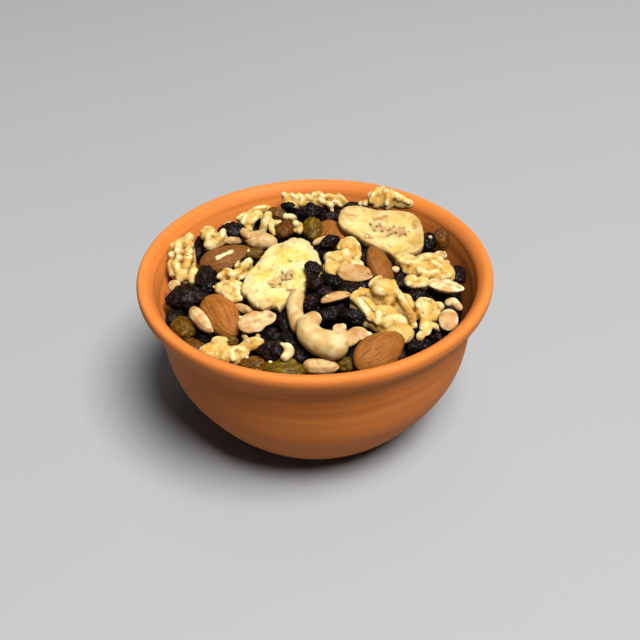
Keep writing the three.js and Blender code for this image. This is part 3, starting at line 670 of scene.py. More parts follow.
# Kind, place, lift and lean; then ellipsoids: u, v, w, their half sizes and turn; then ridges: radius, rise
# over the ellipsoids, and the u and v of every point on the way.
KNEADED = [
    # large half in front
    ("walnuts", 30.5, -35, 4, 25, [
        (-0.5, -0.5, -3.8, 9.5, 7, 5, -15), (3.5, -7, -3.8, 7.5, 5.5, 4.6, 0),
        (-10, 5.5, -3.4, 6.5, 5, 3.8, -40), (7, 5, -3.2, 4.5, 7, 3.8, -15),
    ], [
        (1.8, 1, -10.5, 14.5, -8, 13, -6, 10, -3, 7.5, 0, 8, 2, 11),
        (2.0, 0.7, -9, 13.5, -12.5, 12, -14, 9, -12, 6, -9.5, 2.5, -7.5, -1), (2.2, 0.4, -9.5, -1.5),
        (2, -0.2, -4, 0, -4.5, -3), (1.8, 0.8, 5, 13, 6, 7.5, 7, 4.5),
        (1.8, 0.7, 6.5, 6.5, 8.5, 2.5, 10.5, -0.5), (1.5, 0, 9.5, 0, 11.5, -3),
        (3.4, -1.5, -0.5, -3.5, 2, -2, 5, -3), (1.9, -0.4, 3.5, -8.5, 6, -11),
    ]),
    # its upper lobe
    ("walnuts", 29.5, -23, 7.5, 20, [(0, 0, -1.2, 5.8, 5.2, 4.8, 0), (2, -3, -3, 4.6, 4, 3.6, 0)], [
        (1.2, 0.1, -5.5, 2.5, -4, 5.5, -1, 7.5), (1.5, -0.4, 4, 2, 5, -1, 5, -3.5),
        (2.2, -1, -3, -2, -0.5, -3),
    ]),
    # half at the right
    ("walnuts", 49.5, -4, 5.5, 15, [
        (2.5, 1, -2.6, 11, 6.5, 4.4, -8), (-7.5, 7, -1.8, 5.5, 3.6, 3.4, 0),
        (-6.5, -6, -1.2, 3.6, 3.8, 3.4, 0), (-1.5, -6.5, -1.4, 3.2, 3.6, 3.2, 0),
        (10, -1, -1.6, 3.8, 5.5, 3.4, 0), (2.5, 7.5, -0.6, 6, 2.6, 2.8, 0), (6.5, 5, -0.8, 3.2, 3, 3, 0),
        (-13, 1.5, -0.6, 1.9, 1.7, 1.6, 0),
    ], [
        (1.6, -0.2, -11.5, 7.5, -9, 4.5, -6.5, 4.5), (1.8, 0, -4.5, 4, -1.5, 6),
        (1.6, 0, -8, -8.5, -5, -9, -1, -9), (1.8, -0.6, 3.5, 3.5, 7, 1, 10.5, 5.5),
        (2, -0.8, -2.5, -0.5, 1, -2.5, 4.5, -2), (1.4, -0.2, -9.5, 4, -8.5, 2),
        (1.6, -0.3, 7.5, -4.5, 10.5, -4),
    ]),
    # knob
    ("walnuts", 47.5, -30.5, 5.5, 20, [
        (-1.5, -0.5, -0.8, 4.4, 4.8, 4.2, 0), (2.5, -2, -1.4, 3.8, 3.8, 3.4, 0),
        (5.5, 2.5, -2.4, 2.6, 2.4, 2.4, 0),
    ], [
        (1.6, -0.3, -4, 0, -2, 5.5, 1, 5.5), (1.7, -0.2, 2.5, 5, 3, -0.5), (1.7, -0.2, -2, -4.5, 1, -5),
    ]),
    # its stem
    ("walnuts", 46.5, -41.5, 5, 20, [
        (-0.5, 1.5, -0.6, 2.8, 4.6, 1.8, 0), (-3, -3, -0.4, 1.9, 2.4, 1.6, -20),
    ], [
        (1.5, 0, 2.5, 2.5, 5.5, 2.5),
    ]),
    # half at the left wall
    ("walnuts", -61.5, 12.5, 10.5, 35, [
        (-0.5, 0.5, -3.4, 6.5, 12, 4.4, 0), (5, -7.5, -2.6, 3.2, 4.6, 3, 0),
    ], [
        (2.3, 0.2, 2.5, 12.5), (2.4, 0.2, 3, 7.5), (2.3, 0.3, 3, 3.5), (2.4, 0.2, 3, 0),
        (2.3, 0.2, 2, -3.5), (2, 0.1, 1, -6, 0.5, -8.5), (1.9, 0.2, -2, 8.5, -2, 4), (1.6, 0, -1.5, 0.5),
        (2.1, 0.4, -3, -2.5, -1.5, -6, -1, -9.5), (2, 0.3, -4.5, 7), (1.9, 0, -5, 2.5),
        (1.9, 0, -5.5, -2, -4.5, -6.5),
    ]),
    # piece at the back right
    ("walnuts", 38, 51, 8.5, 30, [
        (-7.5, 0.5, -1.2, 3.6, 5, 3.6, 20), (-1.5, 0.5, -1.2, 4.4, 5.6, 4, 0),
        (4.5, -0.5, -1.4, 5.4, 3.8, 3.4, -25), (-2.5, 4, -1, 4, 2.8, 2.8, 0),
        (8.5, -2, -1.4, 3.4, 2.6, 2.6, 0),
    ], [
        (1.6, 0.1, -9, -2, -8, 1, -5.5, 5), (1.3, 0.3, -5, 3, -3, 7),
        (1.6, 0.2, -2, 3.5, -1, 0, -1.5, -3.5), (1.3, 0.1, 1, 4.5, 1, 0), (1.9, 0.1, 2.5, 1.5, 5, -1),
        (1.5, 0, 6.5, -1.5, 9, -2.5), (1.8, 0.2, -12, -1, -14, -0.5), (1.3, 0, -1, -3.5, -1.5, -5),
    ]),
    # pieces at the front left
    ("walnuts", -41, -50.5, 6.5, 20, [
        (-2.5, 1, -2.4, 5.6, 4.6, 4.4, 0), (0.5, 4, -1.4, 3.6, 3.6, 3.4, 0), (3.5, 0, -2.6, 4, 4, 3.6, 0),
        (7.5, 0, -3, 3.8, 4.6, 3.4, 0), (10, 2, -2, 3.4, 2.6, 2.4, 0),
    ], [
        (1.3, -0.2, -1.5, 5, 0, 5.5, 3, 5.5), (2.2, -0.5, -5.5, 0.5, -3, -1.5),
        (1.2, 0, 6, 0.5, 8, 1.5, 11, 0.5), (1.4, -0.1, 6, 0, 6.5, -3), (1.3, 0, 12, 0, 10, -2),
        (1.3, 0, 1.5, 0.5, 3, 2),
    ]),
    # pale curl beside them
    ("walnuts", -27, -46.5, 5.5, 20, [(-0.5, -1, -2.6, 4.6, 2.6, 2.2, 0)], [
        (1.4, -0.2, -4.5, 9.5, -1.5, 0, 1.5, 1, 4, 1), (1.4, 0, 2, 6.5),
    ]),
    # piece left of the front slice
    ("walnuts", -37, -12.5, 3.5, 12, [
        (-5.5, 2, -1, 2.6, 3, 2.8, 0), (-1.5, 0, -1.4, 4.2, 4.2, 3.8, 0), (2.5, -2, -1.6, 4, 3.6, 3.4, 0),
        (-0.5, 5, -2.4, 5.5, 2.6, 2.8, 0),
    ], [
        (1.4, -0.2, -2.5, -3.5, 0.5, -5, 4, -5), (1.5, -0.3, -4, 5, -0.5, 1.5, 3, -0.5),
    ]),
    # thin fold beside it
    ("walnuts", -36.5, 1, 5.5, 12, [(-1, -3.5, -2.2, 6.5, 2.6, 2.4, 12), (5, 2.5, -1.8, 3.4, 3, 2.4, 0)], [
        (1.7, 0.3, -6.5, -4.5, -5, -3.5), (2.2, 0.3, -4.5, 4.5, -2, -3.5), (2, 0.2, -0.5, -4.5, 2, -2.5),
        (2.1, 0.1, 3, 0, 5, 1, 6.5, 3.5), (1.2, 0.4, 0.5, 3.5, 1.5, 14, 3.5, 24),
        (1.5, -0.4, 3, -4.5, 5.5, -1),
    ]),
    # piece in the middle
    ("walnuts", 13.5, 4, 2.5, 15, [
        (1, 2.5, -1.4, 3.8, 4.2, 3.6, 0), (5, 4, -1.6, 3.2, 4.5, 3.2, 0),
        (-5.5, -3.5, -2.4, 4.8, 4, 3.6, 0), (-6, 3, -2.6, 3.5, 3, 3, 0), (6, -2, -2, 3.5, 2.4, 2.4, -20),
        (0, -1.5, -3, 5, 3, 3, 0), (3.4, 8, -1.8, 5, 5.5, 2.8, 0), (-3, 2, -1.6, 4.5, 4, 3, 0),
    ], [
        (1.4, -0.1, -2, 9, 0, 12.5, 4, 12.5, 6.5, 8), (1.3, 0.1, 6, 5.5, 7, 2, 5.5, 0),
        (1.8, -0.3, -7, -2, -7.5, -6, -5.5, -7.5), (1.4, 0, 3.5, -2, 7, -4),
    ]),
    # band at the back
    ("walnuts", -8, 61, 1, 15, [
        (0, 1, -2, 7.5, 4.6, 3.6, 0), (-5, 3, -1.2, 2.8, 2.8, 2.6, 0), (6, 1, -1.6, 4.6, 4.2, 3.4, 0),
    ], [
        (1.6, 0.3, -6.5, 3.5), (1.5, 0, -3, 4, -0.5, 0.5), (1.5, 0, 1, 3, 3, 0, 2, -2.5),
        (1.6, 0, -4.5, -1.5, -2, -3), (1.4, 0.1, 5, 1.5, 7, -0.5),
    ]),
    # its right end
    ("walnuts", 7, 61.5, 0.5, 15, [
        (-4, 1, -1.8, 5, 4.4, 3.6, 0), (2, 1.5, -2, 4.6, 3.8, 3.4, 0), (7, 0.5, -2.4, 4, 3, 2.8, -20),
    ], [
        (1.6, 0.1, -6.5, 2, -4, 3, -2, 0.5), (1.5, 0, -3.5, -1.5, -1, -2), (1.4, 0.1, 0.5, 1.5, 3, 0.5),
        (1.5, 0, 6, 6, 8, 0, 10, -1.5), (2, 0.8, 2, -2.5), (1.4, -0.1, 4.5, -1, 7, -2.5),
        (1.2, 0.6, 2.5, -4.5),
    ]),
    # piece behind the left almond
    ("walnuts", -48.5, 28, 7.5, 25, [
        (-2.5, 3, -1.2, 4, 3.2, 3, 0), (-0.5, -2.5, -1, 4, 3.2, 3, 0),
        (3.5, 0.5, -1.4, 3.4, 4.4, 2.8, -25),
    ], [
        (1.3, -0.1, -5, 3.5, -3, 8.5, 0, 6), (1.6, -0.2, -2, 0.5), (1.7, -0.1, 5, 4, 4.5, 0.5, 2.5, -2),
    ]),
    # crest at the back left
    ("walnuts", -31, 43.5, 4, 20, [(-1.5, 0, -2, 3.8, 3.6, 3, 0), (3, 4.5, -2, 3.6, 2.6, 2.4, 0)], [
        (1.6, 0, -3.5, -1.5, -2, 1.5, 0.5, 3.5), (1.5, 0, 0, -2, 2.5, 2), (2.3, 0.2, -1, -4),
    ]),
    # finger
    ("walnuts", -23.5, 39.5, 3, 25, [(0.5, 2, -1.8, 3, 4.5, 2.8, 0)], [
        (2.2, 0.1, 1.5, 4.5, 0, 0, -1.5, -3), (1.7, 0.1, 3, 1),
    ]),
    # ring
    ("walnuts", -19, 35, 2.5, 20, [], [(1.6, 0, 2.5, 3, -0.5, 2.5, -1.5, -0.5, 0, -3.5)]),
    # strip behind the crest
    ("walnuts", -33.5, 50, 3.5, 20, [
        (-2, -1, -0.8, 3.6, 2.3, 2, 25), (3, 2, -1, 3.4, 2.2, 2, 20), (8, 4, -0.8, 4.8, 2.3, 2, 20),
    ], [
        (1.3, 0, -4, -2.5, -0.5, 0), (1.4, 0, 4.5, 3, 9, 4),
    ]),
    # bits beside the slices
    ("walnuts", -8, 34.5, 2, 20, [(0, 1, -2, 3.4, 3.4, 2.6, 0), (-3, 6.5, -1.6, 3, 2.4, 2.2, 0)], [
        (1.8, 0.1, -5.5, 6.5, -2.5, 5.5), (1.9, 0.3, -0.5, 1), (1.8, 0.2, 1.5, -2, 4, 0.5, 4.5, -2.5),
        (1.6, 0.1, 0.5, 25, -2, 30.5),
    ]),
    # cashew
    ("cashews", 1.5, -49, 6.5, 20, [*CASHEW, (-2.6, 8.2, -0.2, 3.7, 3.6, 3.6, 0)], []),
    # second cashew
    ("cashews", -8, -34, 5, 20, [], [(3.7, -1, 0, 8.5, -1, 3.5, -0.5, -1.5, 0.5, -6.5)]),
    # chips
    ("peanut_flakes", 16, -45.5, 3.5, 25, [
        (-2, -1.5, -0.6, 4.6, 3.6, 1.3, 20), (1.5, 0.5, -0.6, 4.4, 3.2, 1.3, -10),
        (5, 0, -0.8, 2.6, 1.6, 1.2, -15), (-3, -3.5, -1, 2.4, 2.2, 1.2, 0),
        (-6.5, 2, 0, 2.8, 3.2, 1.4, 30), (-5, 3.5, 0, 1.8, 1.6, 1.3, 0),
    ], []),
    # tan knob
    ("peanut_flakes", 58, 9.5, 7, 10, [(0, -1, 0, 3.3, 2.4, 2.3, 0)], []),
    # end at the right wall
    ("peanut_flakes", 60, -26.5, 7.5, 20, [], [(1.9, 0, -2.5, 0.5, -0.5, 1, 1.5, -2)]),
    # bit at the left wall
    ("peanut_flakes", -64, -2.5, 7.5, 30, [(0, -0.5, 0, 3, 3, 2, -20)], []),
    # flake at the back left wall
    ("peanut_flakes", -42, 44.5, 3.5, 20, [(-0.5, 0, -0.6, 4.2, 2, 1.4, 28)], []),
    # crescent
    ("cashews", -12, -54.5, 5, 20, [], [(2.2, 0, 0, 2.5, 1, 0, -1, -2.5), (1.2, 0, -2.5, 4)]),
    # disc
    ("peanut_flakes", 56, -37, 7.5, 25, [(0, 0, 0, 4.3, 5.4, 1.6, -15)], []),
]

# ---- The loose pieces ----

# x, y, turn, tip, roll, size, lift, tone, and what else differs
ALMONDS = [
    (-41.5, 21, 16, 3, 6, 1.15, 0.5, 0, {"scratch": 1.0}),
    (-39.7, -20.3, -58, -9, 22, 1.1, 0, 0.95, {}),
    (9.5, 30, -67, -4, 10, 0.94, 1, 0.6, {}),
    (31, 3.5, 98, 9, 45, 1.02, 1, 0.45, {}),
    (25.6, -49.7, 38, 4, 38, 1.06, 0.7, 0.7, {}),
]
PEANUT_HALVES = [
    (18.5, -6, -14, 0, 28, 1, 2, 1, {"bare": 0.15}),
    (8, -24.5, 22, 0, 148, 0.88, 3, 1, {"slim": 0.85, "bare": 0.1}),
    (-49, -27, -53, -8, -98, 1.05, 3, 0, {"slim": 0.85, "bare": 0.5}),
    (-25, -32, 20, 4, 34, 1.04, 2, 0.4, {"waist": 0.2, "bare": 0.4}),
    (-30.5, -20, -30, 0, -100, 0.8, 0, 1, {"slim": 0.6}),
    (2, -56.5, -5, 0, -105, 0.92, 1.7, 0.5, {"slim": 0.9}),
    (57.5, -13, -22, 0, 6, 1, 6, 0, {"slim": 0.85, "bare": 1.0, "loose": 0.1}),
    (-26, 29, -15, 0, -140, 1, 1, 0.4, {}),
    (-32, 31.5, -60, 0, -150, 0.5, 2.5, 0, {}),
    (-39, 33, -2, 0, -120, 0.7, 0.5, 0.2, {"slim": 0.6}),
    (2.5, 22, 39, 0, -110, 0.52, 1, 0.2, {"slim": 0.7}),
]
# x, y, turn, tip, size, lift
RAISINS = [
    (-1, 47, -5, 0, 1.0, 2), (8, 45, 9, 0, 0.7, 0), (-38, 41, -12, 0, 1.0, 2),
    (-53.5, 35, -77, 30, 0.95, 3), (8.5, 21, 29, 0, 0.75, 0.5), (18.5, 24, -45, 0, 0.75, 1),
    (23.5, 11, -97, 0, 0.84, 0), (40, -5, -84, 0, 0.95, 0), (54.5, 24, -100, -25, 0.84, 3),
    (66, 3, -84, 0, 0.86, 2), (-1, -10, -80, 0, 0.8, 5), (0, -17, -70, 0, 0.8, 4.5),
    (3, -20.5, -20, 0, 0.75, 3), (-1.5, -24, 60, 0, 0.75, 2), (8, -13.5, -30, 0, 0.85, 2),
    (-50, 5, 75, 0, 1.0, 2), (-49, -4, 60, 0, 0.9, 2), (-57.5, -10, -3, 0, 1.5, 3),
    (-65.5, -16, 60, 0, 0.8, 4), (-20, -48, -8, 0, 1.15, 1.5), (-13, -31, -82, 0, 1, 0),
    (-11, -42, -76, 0, 1, 0), (15, -16, -8, 0, 1, 0), (15, -29, -24, 0, 1, -1.5), (45, -14, 23, 0, 0.9, 0),
    (-7, -50, 40, 0, 0.9, 0), (42, -44, 10, 0, 0.95, 1), (51, -37, -30, 0, 0.9, 1),
    (6.5, -31, 15, 0, 0.9, -1), (17.5, -34, -20, 0, 0.95, 1), (28, -12, 50, 0, 0.9, 1),
    (-12.5, 55, 0, 0, 0.5, 2), (-58, 25, 50, 0, 0.85, 4),
]
# x, y, turn, tip, size, lift, how brown
SULTANAS = [
    (-12.5, 35, 80, 0, 0.94, 1.5, 1.0), (-18, 50, -22, 0, 0.78, 1, 0.6), (61, 27, 80, 40, 0.85, 5, 1.0),
    (-57, 13, -77, 0, 0.8, 2, 0.8), (-58, -27, -62, 0, 1.06, 1.5, 0.5), (-27, -53, -2, 0, 0.9, 1, 0.7),
    (-13, -58, -6, 0, 1.26, 0.5, 0.0), (14, -57, -3, 0, 0.8, 0.5, 0.2), (36, 11, -74, 0, 0.7, 1.5, 0.1),
    (-1, 33, -90, -20, 0.95, -0.5, 0.15), (-28, 18, 30, 0, 0.62, 0.5, 0.45),
    (-38, -38, -10, 0, 0.7, -1.5, 0.6), (-52.5, -41, -40, 0, 0.85, 2, 0.9),
    (-26.5, -44, 20, 0, 0.7, 0, 0.9),
]

layout = []


def lay(kind, x, y, turn=0, tip=0, roll=0, size=1, lift=0, tone=None, loose=0.25, **look):
    """Puts a piece on the surface of the mix; loose says how readily its neighbours push it aside."""
    place = np.array([x, y, fill_height(x, y) + lift], float)
    layout.append({"kind": kind, "place": place, "size": size, "loose": loose, "tone": tone, "look": look,
                   "turned": rotation(turn, tip, roll)})


def lay_pieces():
    for row in KNEADED:
        knead(*row)
    for *row, look in ALMONDS:
        lay("almonds", *row, **look)
    for *row, look in PEANUT_HALVES:
        lay("peanut_halves", *row, **look)
    for x, y, turn, tip, size, lift in RAISINS:
        lay("raisins", x, y, turn, tip, 0, size, lift)
    for x, y, turn, tip, size, lift, brown in SULTANAS:
        lay("sultanas", x, y, turn, tip, 0, size, lift, brown=brown)


def lay_filling_raisins():
    """Raisins below and between the others, in evenly spaced rings with seeded nudges."""
    rng = np.random.default_rng(7)
    for ring in np.arange(FILLING_SPACING / 2, FILLING_RADIUS, FILLING_SPACING):
        count = round(2 * math.pi * ring / FILLING_SPACING)
        for i in range(count):
            angle = 2 * math.pi * (i + rng.uniform(-0.2, 0.2)) / count
            reach = ring + rng.uniform(-1, 1)
            lay("raisins", reach * math.cos(angle), reach * math.sin(angle), turn=rng.uniform(0, 180),
                roll=rng.uniform(-40, 40), tip=rng.uniform(-20, 20), size=rng.uniform(0.85, 1.1),
                lift=-FILLING_DEPTH, loose=1.0)


# ---- Banana slices ----

SLICES = [
    {
        "name": "banana_slice_front", "slot": "banana_front", "centre": (-15, -7.5, 80.85),
        "lean_back": 10, "lean_side": -3, "ragged": 0.8, "dish": 0.2,
        "outline": [
            (-17.5, -7.5), (-16.5, -2), (-14, 3), (-11, 8), (-8, 13), (-5, 18), (-1.5, 20), (1.5, 20.5),
            (4, 22.5), (6, 23.5), (9, 22.5), (13, 20), (14.5, 16), (17.5, 10), (18, 2), (17, -5), (12, -9),
            (10, -12), (8.5, -17), (5, -17), (2, -18.5), (-1, -21.5), (-3.5, -19.5), (-8, -21), (-10.5, -19),
            (-14, -14.5), (-16.5, -10.5),
        ],
        "seeds": [
            (4, 7.5), (0.5, 0.5), (-4.5, -6.5), (-3.5, -8.5), (2, -4), (3.5, -4), (4.5, -1.5), (3.5, -11),
            (0.5, -4), (2, -1.5), (-0.5, -6.5),
        ],
        "seed_line": [(-3, -6), (3.5, -0.5)],
        "colors": [srgb(172, 164, 116), srgb(166, 146, 68), srgb(134, 92, 50)],
    },
    {
        "name": "banana_slice_back", "slot": "banana_back", "centre": (32, 24.5, 81.5),
        "lean_back": 10, "lean_side": 2, "ragged": 0.2, "dish": 0.9,
        "outline": [
            (-20.5, 7), (-19.5, 14), (-16, 17.5), (-12, 18.5), (-5, 16.5), (0, 15), (8.5, 15), (14.5, 13),
            (18.5, 9.5), (20, 1.5), (19.5, -7), (17.5, -13), (13, -15.5), (9, -18), (6, -20), (2.5, -15),
            (0, -13.5), (-4, -10.5), (-8.5, -7.5), (-12, -4), (-16.5, 0), (-19, 2.5),
        ],
        "seeds": [
            (-5, 5.5), (-2, 4), (-0.5, 5), (-3.5, 1), (0.5, 0.5), (3.5, 2), (6, 4), (10.5, 3), (3, -3),
            (6.5, 0), (8.5, -2), (11, -1.5), (4.5, -1),
        ],
        "seed_line": [(-3, 3), (9, -0.5)],
        "colors": [srgb(172, 152, 102), srgb(154, 128, 60), srgb(122, 80, 40)],
    },
]


def put_slice(item, points):
    """Leans a slice and sets it in its place."""
    return points @ rotation(0, -item["lean_side"], item["lean_back"]).T + np.array(item["centre"], float)


def slice_points(item):
    """A disc of flesh with flat faces and a rounded edge, and how far out each of its points is."""
    rim = closed_spline(item["outline"], SIDES)
    centre = rim.mean(0)
    out = rim - centre
    reach = np.hypot(*out.T)
    edge_noise = noise(np.column_stack([rim / 2.6, np.zeros(SIDES)]), 9)
    edge_noise += 0.4 * noise(np.column_stack([rim / 1.1, np.zeros(SIDES)]), 10)
    out *= (1 + item["ragged"] * edge_noise / reach)[:, None]
    half = SLICE_THICKNESS / 2
    inset = SLICE_EDGE / reach.mean()
    top = [(s, half) for s in np.linspace(0, 1 - inset, 60)[1:]]
    edge = [(1 - inset * (1 - math.sin(a)), half * math.copysign(abs(math.cos(a)) ** 0.7, math.cos(a)))
            for a in np.linspace(0, math.pi, 18)[1:-1]]
    bottom = [(s, -half) for s in np.linspace(1 - inset, 0, 12)[:-1]]
    ladder = top + edge + bottom
    points = [np.column_stack([centre + s * out, np.full(SIDES, z)]) for s, z in ladder]
    share = np.repeat([s for s, _ in ladder], SIDES)
    points = np.vstack([*points, [*centre, half], [*centre, -half]])
    return points, sheath(len(ladder), SIDES), np.append(share, [0, 0])


def make_slice(item):
    points, triangles, share = slice_points(item)
    flat = points[:, :2].copy()
    upper = smoothstep(0.4, 1.6, points[:, 2])
    start, end = (np.array(p, float) for p in item["seed_line"])
    length = np.linalg.norm(end - start)
    along = (end - start) / length
    across = np.array([-along[1], along[0]])
    run = np.clip((flat - start) @ along, 0, length)
    away = np.linalg.norm(flat - start - run[:, None] * along, axis=1)
    ragged = away + 1.2 * noise(np.column_stack([flat / 1.7, points[:, 2]]), 11)
    stain = 1 - smoothstep(1.0, 4.0, ragged)
    seeds = np.zeros(len(points))
    for number, spot in enumerate(item["seeds"]):
        offset = (np.array(spot) - start) @ across
        heading = along * (0.6 if number % 2 else -0.4) + across * math.copysign(1, offset)
        heading /= np.linalg.norm(heading)
        relative = flat - spot
        long, short = relative @ heading, relative @ [-heading[1], heading[0]]
        seeds = np.maximum(seeds, np.exp(-((long / 1.25) ** 2) - (short / 0.6) ** 2))
    rim = smoothstep(0.72, 0.95, share) * upper
    points[:, 2] += item["dish"] * (rim - 0.6) * upper
    points[:, 2] += 0.45 * noise(np.column_stack([flat / 8, points[:, 2] / 9]), 13)
    points[:, 2] += upper * (0.3 * noise(points / 3.0, 14) + 0.14 * noise(points / 1.2, 15))
    points[:, 2] -= upper * (0.5 * seeds + 0.35 * stain)
    # The lower part of the edge and a band round the top face are marked for the rind colour.
    side = (1 - upper) * smoothstep(0.9, 0.97, share)
    marks = {"mark": upper * seeds, "tone": stain * upper, "shade_and_stain": np.clip(0.8 * side + 0.35 * rim, 0, 1)}
    name = item["name"] + "_flesh"
    material = banana_flesh(name, *item["colors"])
    make_piece(name, put_slice(item, points), triangles, marks, material, item["name"])


# ---- Settling: round proxies push each other apart until they only touch ----

PROXY_SHRINK = 0.94
PUSH = 0.8
PULL_BACK = 0.04
WALL_GAP = 0.4
MAP_HALF = 78


def proxies(entry):
    """The centres of small spheres that fill a piece, turned as it is, and their radius."""
    a, b, c = (half * entry["size"] for half in HALF_SIZES[entry["kind"]])
    long, wide = 0.95 * (a - c), 0.95 * max(b - c, 0)
    if b - c < 0.8:
        spots = [(s, 0.0, 0.0) for s in np.linspace(-long, long, 4)]
    else:
        spots = [(0.0, 0.0, 0.0)]
        for angle in np.linspace(0, 2 * math.pi, 9)[:-1]:
            x, y = math.cos(angle), math.sin(angle)
            spots.append((long * x, wide * y, 0.0))
            spots.append((0.5 * (a - c) * x, 0.5 * max(b - c, 0) * y, 0.0))
    return np.array(spots) @ entry["turned"].T, PROXY_SHRINK * c


def slice_proxies(item):
    rim = closed_spline(item["outline"], 26)
    centre = rim.mean(0)
    spots = np.concatenate([centre + s * (rim - centre) for s in (0.92, 0.72, 0.5, 0.28)])
    return put_slice(item, np.column_stack([spots, np.zeros(len(spots))]))


def settle(rounds=160):
    """Moves the loose pieces; returns the proxies' centres, their radii and whose they are."""
    filled = [proxies(entry) for entry in layout]
    local = np.concatenate([spots for spots, _ in filled])
    slices = np.concatenate([slice_proxies(item) for item in SLICES])
    fixed = np.vstack([slices, np.array(obstacles)[:, :3]])
    mine = np.repeat(np.arange(len(layout)), [len(spots) for spots, _ in filled])
    owner = np.append(mine, [len(layout)] * len(fixed))
    radii = np.array([radius for spots, radius in filled for _ in spots]
                     + [SLICE_THICKNESS / 2 + 0.1] * len(slices) + [spot[3] for spot in obstacles])
    places = np.array([entry["place"] for entry in layout])
    targets = places.copy()
    loose = np.array([entry["loose"] for entry in layout] + [0.0])
    for _ in range(rounds):
        centres = np.concatenate([places[mine] + local, fixed])
        near = centres[:, None, :] - centres[None, :, :]
        gap = np.linalg.norm(near, axis=2)
        overlap = radii[:, None] + radii[None, :] - gap
        overlap[owner[:, None] == owner[None, :]] = 0
        first, second = np.nonzero(overlap > 0.05)
        share = loose[owner[first]] / np.maximum(loose[owner[first]] + loose[owner[second]], 1e-6)
        push = near[first, second] / np.maximum(gap[first, second], 1e-3)[:, None]
        push *= (overlap[first, second] * share)[:, None]
        move = np.zeros((len(layout) + 1, 3))
        weight = np.zeros(len(layout) + 1)
        np.add.at(move, owner[first], push)
        np.add.at(weight, owner[first], 1.0)
        move /= np.maximum(weight, 1)[:, None]
        places += PUSH * move[:-1]
        places += PULL_BACK * (targets - places) * (loose[:-1] < 1)[:, None]
        centres = places[mine] + local
        reach = np.hypot(centres[:, 0], centres[:, 1])
        out = np.zeros(len(layout))
        np.maximum.at(out, mine, reach + radii[: len(local)] + WALL_GAP - inner_radius(centres[:, 2]))
        heading = places[:, :2] / np.maximum(np.hypot(*places[:, :2].T), 1)[:, None]
        places[:, :2] -= heading * np.maximum(out, 0)[:, None]
    for entry, place in zip(layout, places):
        entry["place"] = place
    return np.concatenate([places[mine] + local, fixed]), radii, owner


def map_tops(centres, radii, owner):
    """Over a grid of 1 mm cells: how high the pieces reach, and what share of each piece shows from above."""
    side = 2 * MAP_HALF + 1
    height = np.full((side, side), -1.0)
    highest = np.full((side, side), -1)
    covered = np.zeros(owner.max() + 1)
    for (x, y, z), radius, who in zip(centres, radii, owner):
        low = np.maximum(np.floor([x - radius, y - radius]).astype(int) + MAP_HALF, 0)
        high = np.minimum(np.ceil([x + radius, y + radius]).astype(int) + MAP_HALF + 1, side)
        i, j = np.mgrid[low[0]:high[0], low[1]:high[1]]
        left = radius**2 - (i - MAP_HALF - x) ** 2 - (j - MAP_HALF - y) ** 2
        top = np.where(left > 0, z + np.sqrt(np.maximum(left, 0)), -1)
        higher = top > height[i, j]
        height[i[higher], j[higher]] = top[higher]
        highest[i[higher], j[higher]] = who
        covered[who] += (left > 0).sum()
    return height, np.bincount(highest[highest >= 0], minlength=len(covered)) / np.maximum(covered, 1)


def set_detail(shown):
    """Filling raisins get as fine a mesh as the share of them that shows asks for."""
    for entry, share in zip(layout, shown):
        if entry["loose"] == 1.0:
            entry["look"]["cells"] = 4 if share < 0.05 else 7 if share < 0.15 else 9


def lay_crumbs(height):
    """Small bits of nut on top of the other pieces."""
    rng = np.random.default_rng(12)
    for _ in range(CRUMB_COUNT):
        angle, reach = rng.uniform(0, 2 * math.pi), FILLING_RADIUS * math.sqrt(rng.uniform())
        x, y = reach * math.cos(angle), reach * math.sin(angle)
        lay("crumbs", x, y, turn=rng.uniform(0, 360), size=rng.uniform(0.5, 1.1))
        layout[-1]["place"][2] = height[round(x) + MAP_HALF, round(y) + MAP_HALF] + 0.2


# ---- Joining the pieces of each kind into one mesh ----

FIRST_SEED = 100


def join(kind, material):
    points, triangles, attributes = [], [], {"shade_and_stain": [], "mark": [], "tone": [], "worn_and_highlight": []}
    total = 0
    for number, entry in enumerate(layout):
        if entry["kind"] != kind:
            continue
        rng = np.random.default_rng(FIRST_SEED + number)
        own, faces, marks = KINDS[kind](rng, **entry["look"])
        marks["tone"] = np.full(len(own), rng.uniform() if entry["tone"] is None else entry["tone"])
        for key, values in attributes.items():
            values.append(marks.get(key, np.zeros(len(own))))
        points.append((own * entry["size"]) @ entry["turned"].T + entry["place"])
        triangles.append(faces + total)
        total += len(own)
    attributes = {key: np.concatenate(values) for key, values in attributes.items()}
    points, triangles = np.concatenate(points), np.concatenate(triangles)
    make_piece(kind, points, triangles, attributes, material, "trail_mix")


def make_core():
    """The mass of raisins below the pieces that show, coloured darker than open raisin skin as painted shade.
    """
    low = HOLLOW[HOLLOW[:, 1] < CORE_BOTTOM]
    under = np.column_stack([low[:, 0] - CORE_GAP, low[:, 1] + CORE_GAP])
    above_all = 200.0
    top = [(FILL_RADIUS * s, above_all) for s in np.linspace(1, 0, 90)]
    bottom = [(0, FLOOR_THICKNESS + CORE_GAP), (10, FLOOR_THICKNESS + CORE_GAP)]
    points, triangles = revolve(np.vstack([*bottom, under, top]), SIDES)
    upper = points[:, 2] > above_all - 1
    x, y = points[upper, 0], points[upper, 1]
    lumps = noise(np.column_stack([x / 5, y / 5, 0 * x]), 21)
    points[upper, 2] = fill_height(x, y) - CORE_DEPTH + CORE_LUMPS * lumps
    reach = np.hypot(x, y)
    limit = inner_radius(points[upper, 2]) - CORE_RIM_GAP
    squeeze = np.where(reach > FILL_RADIUS - 8, np.minimum(1, limit / np.maximum(reach, 1)), 1)
    points[upper, :2] *= squeeze[:, None]
    # Painted shade: the whole core takes most of the dark fold colour, as if deep in shade.
    marks = {"shade_and_stain": np.full(len(points), 0.8), "tone": np.zeros(len(points))}
    make_piece("mix_core", points, triangles, marks, raisin_skin(), "trail_mix")


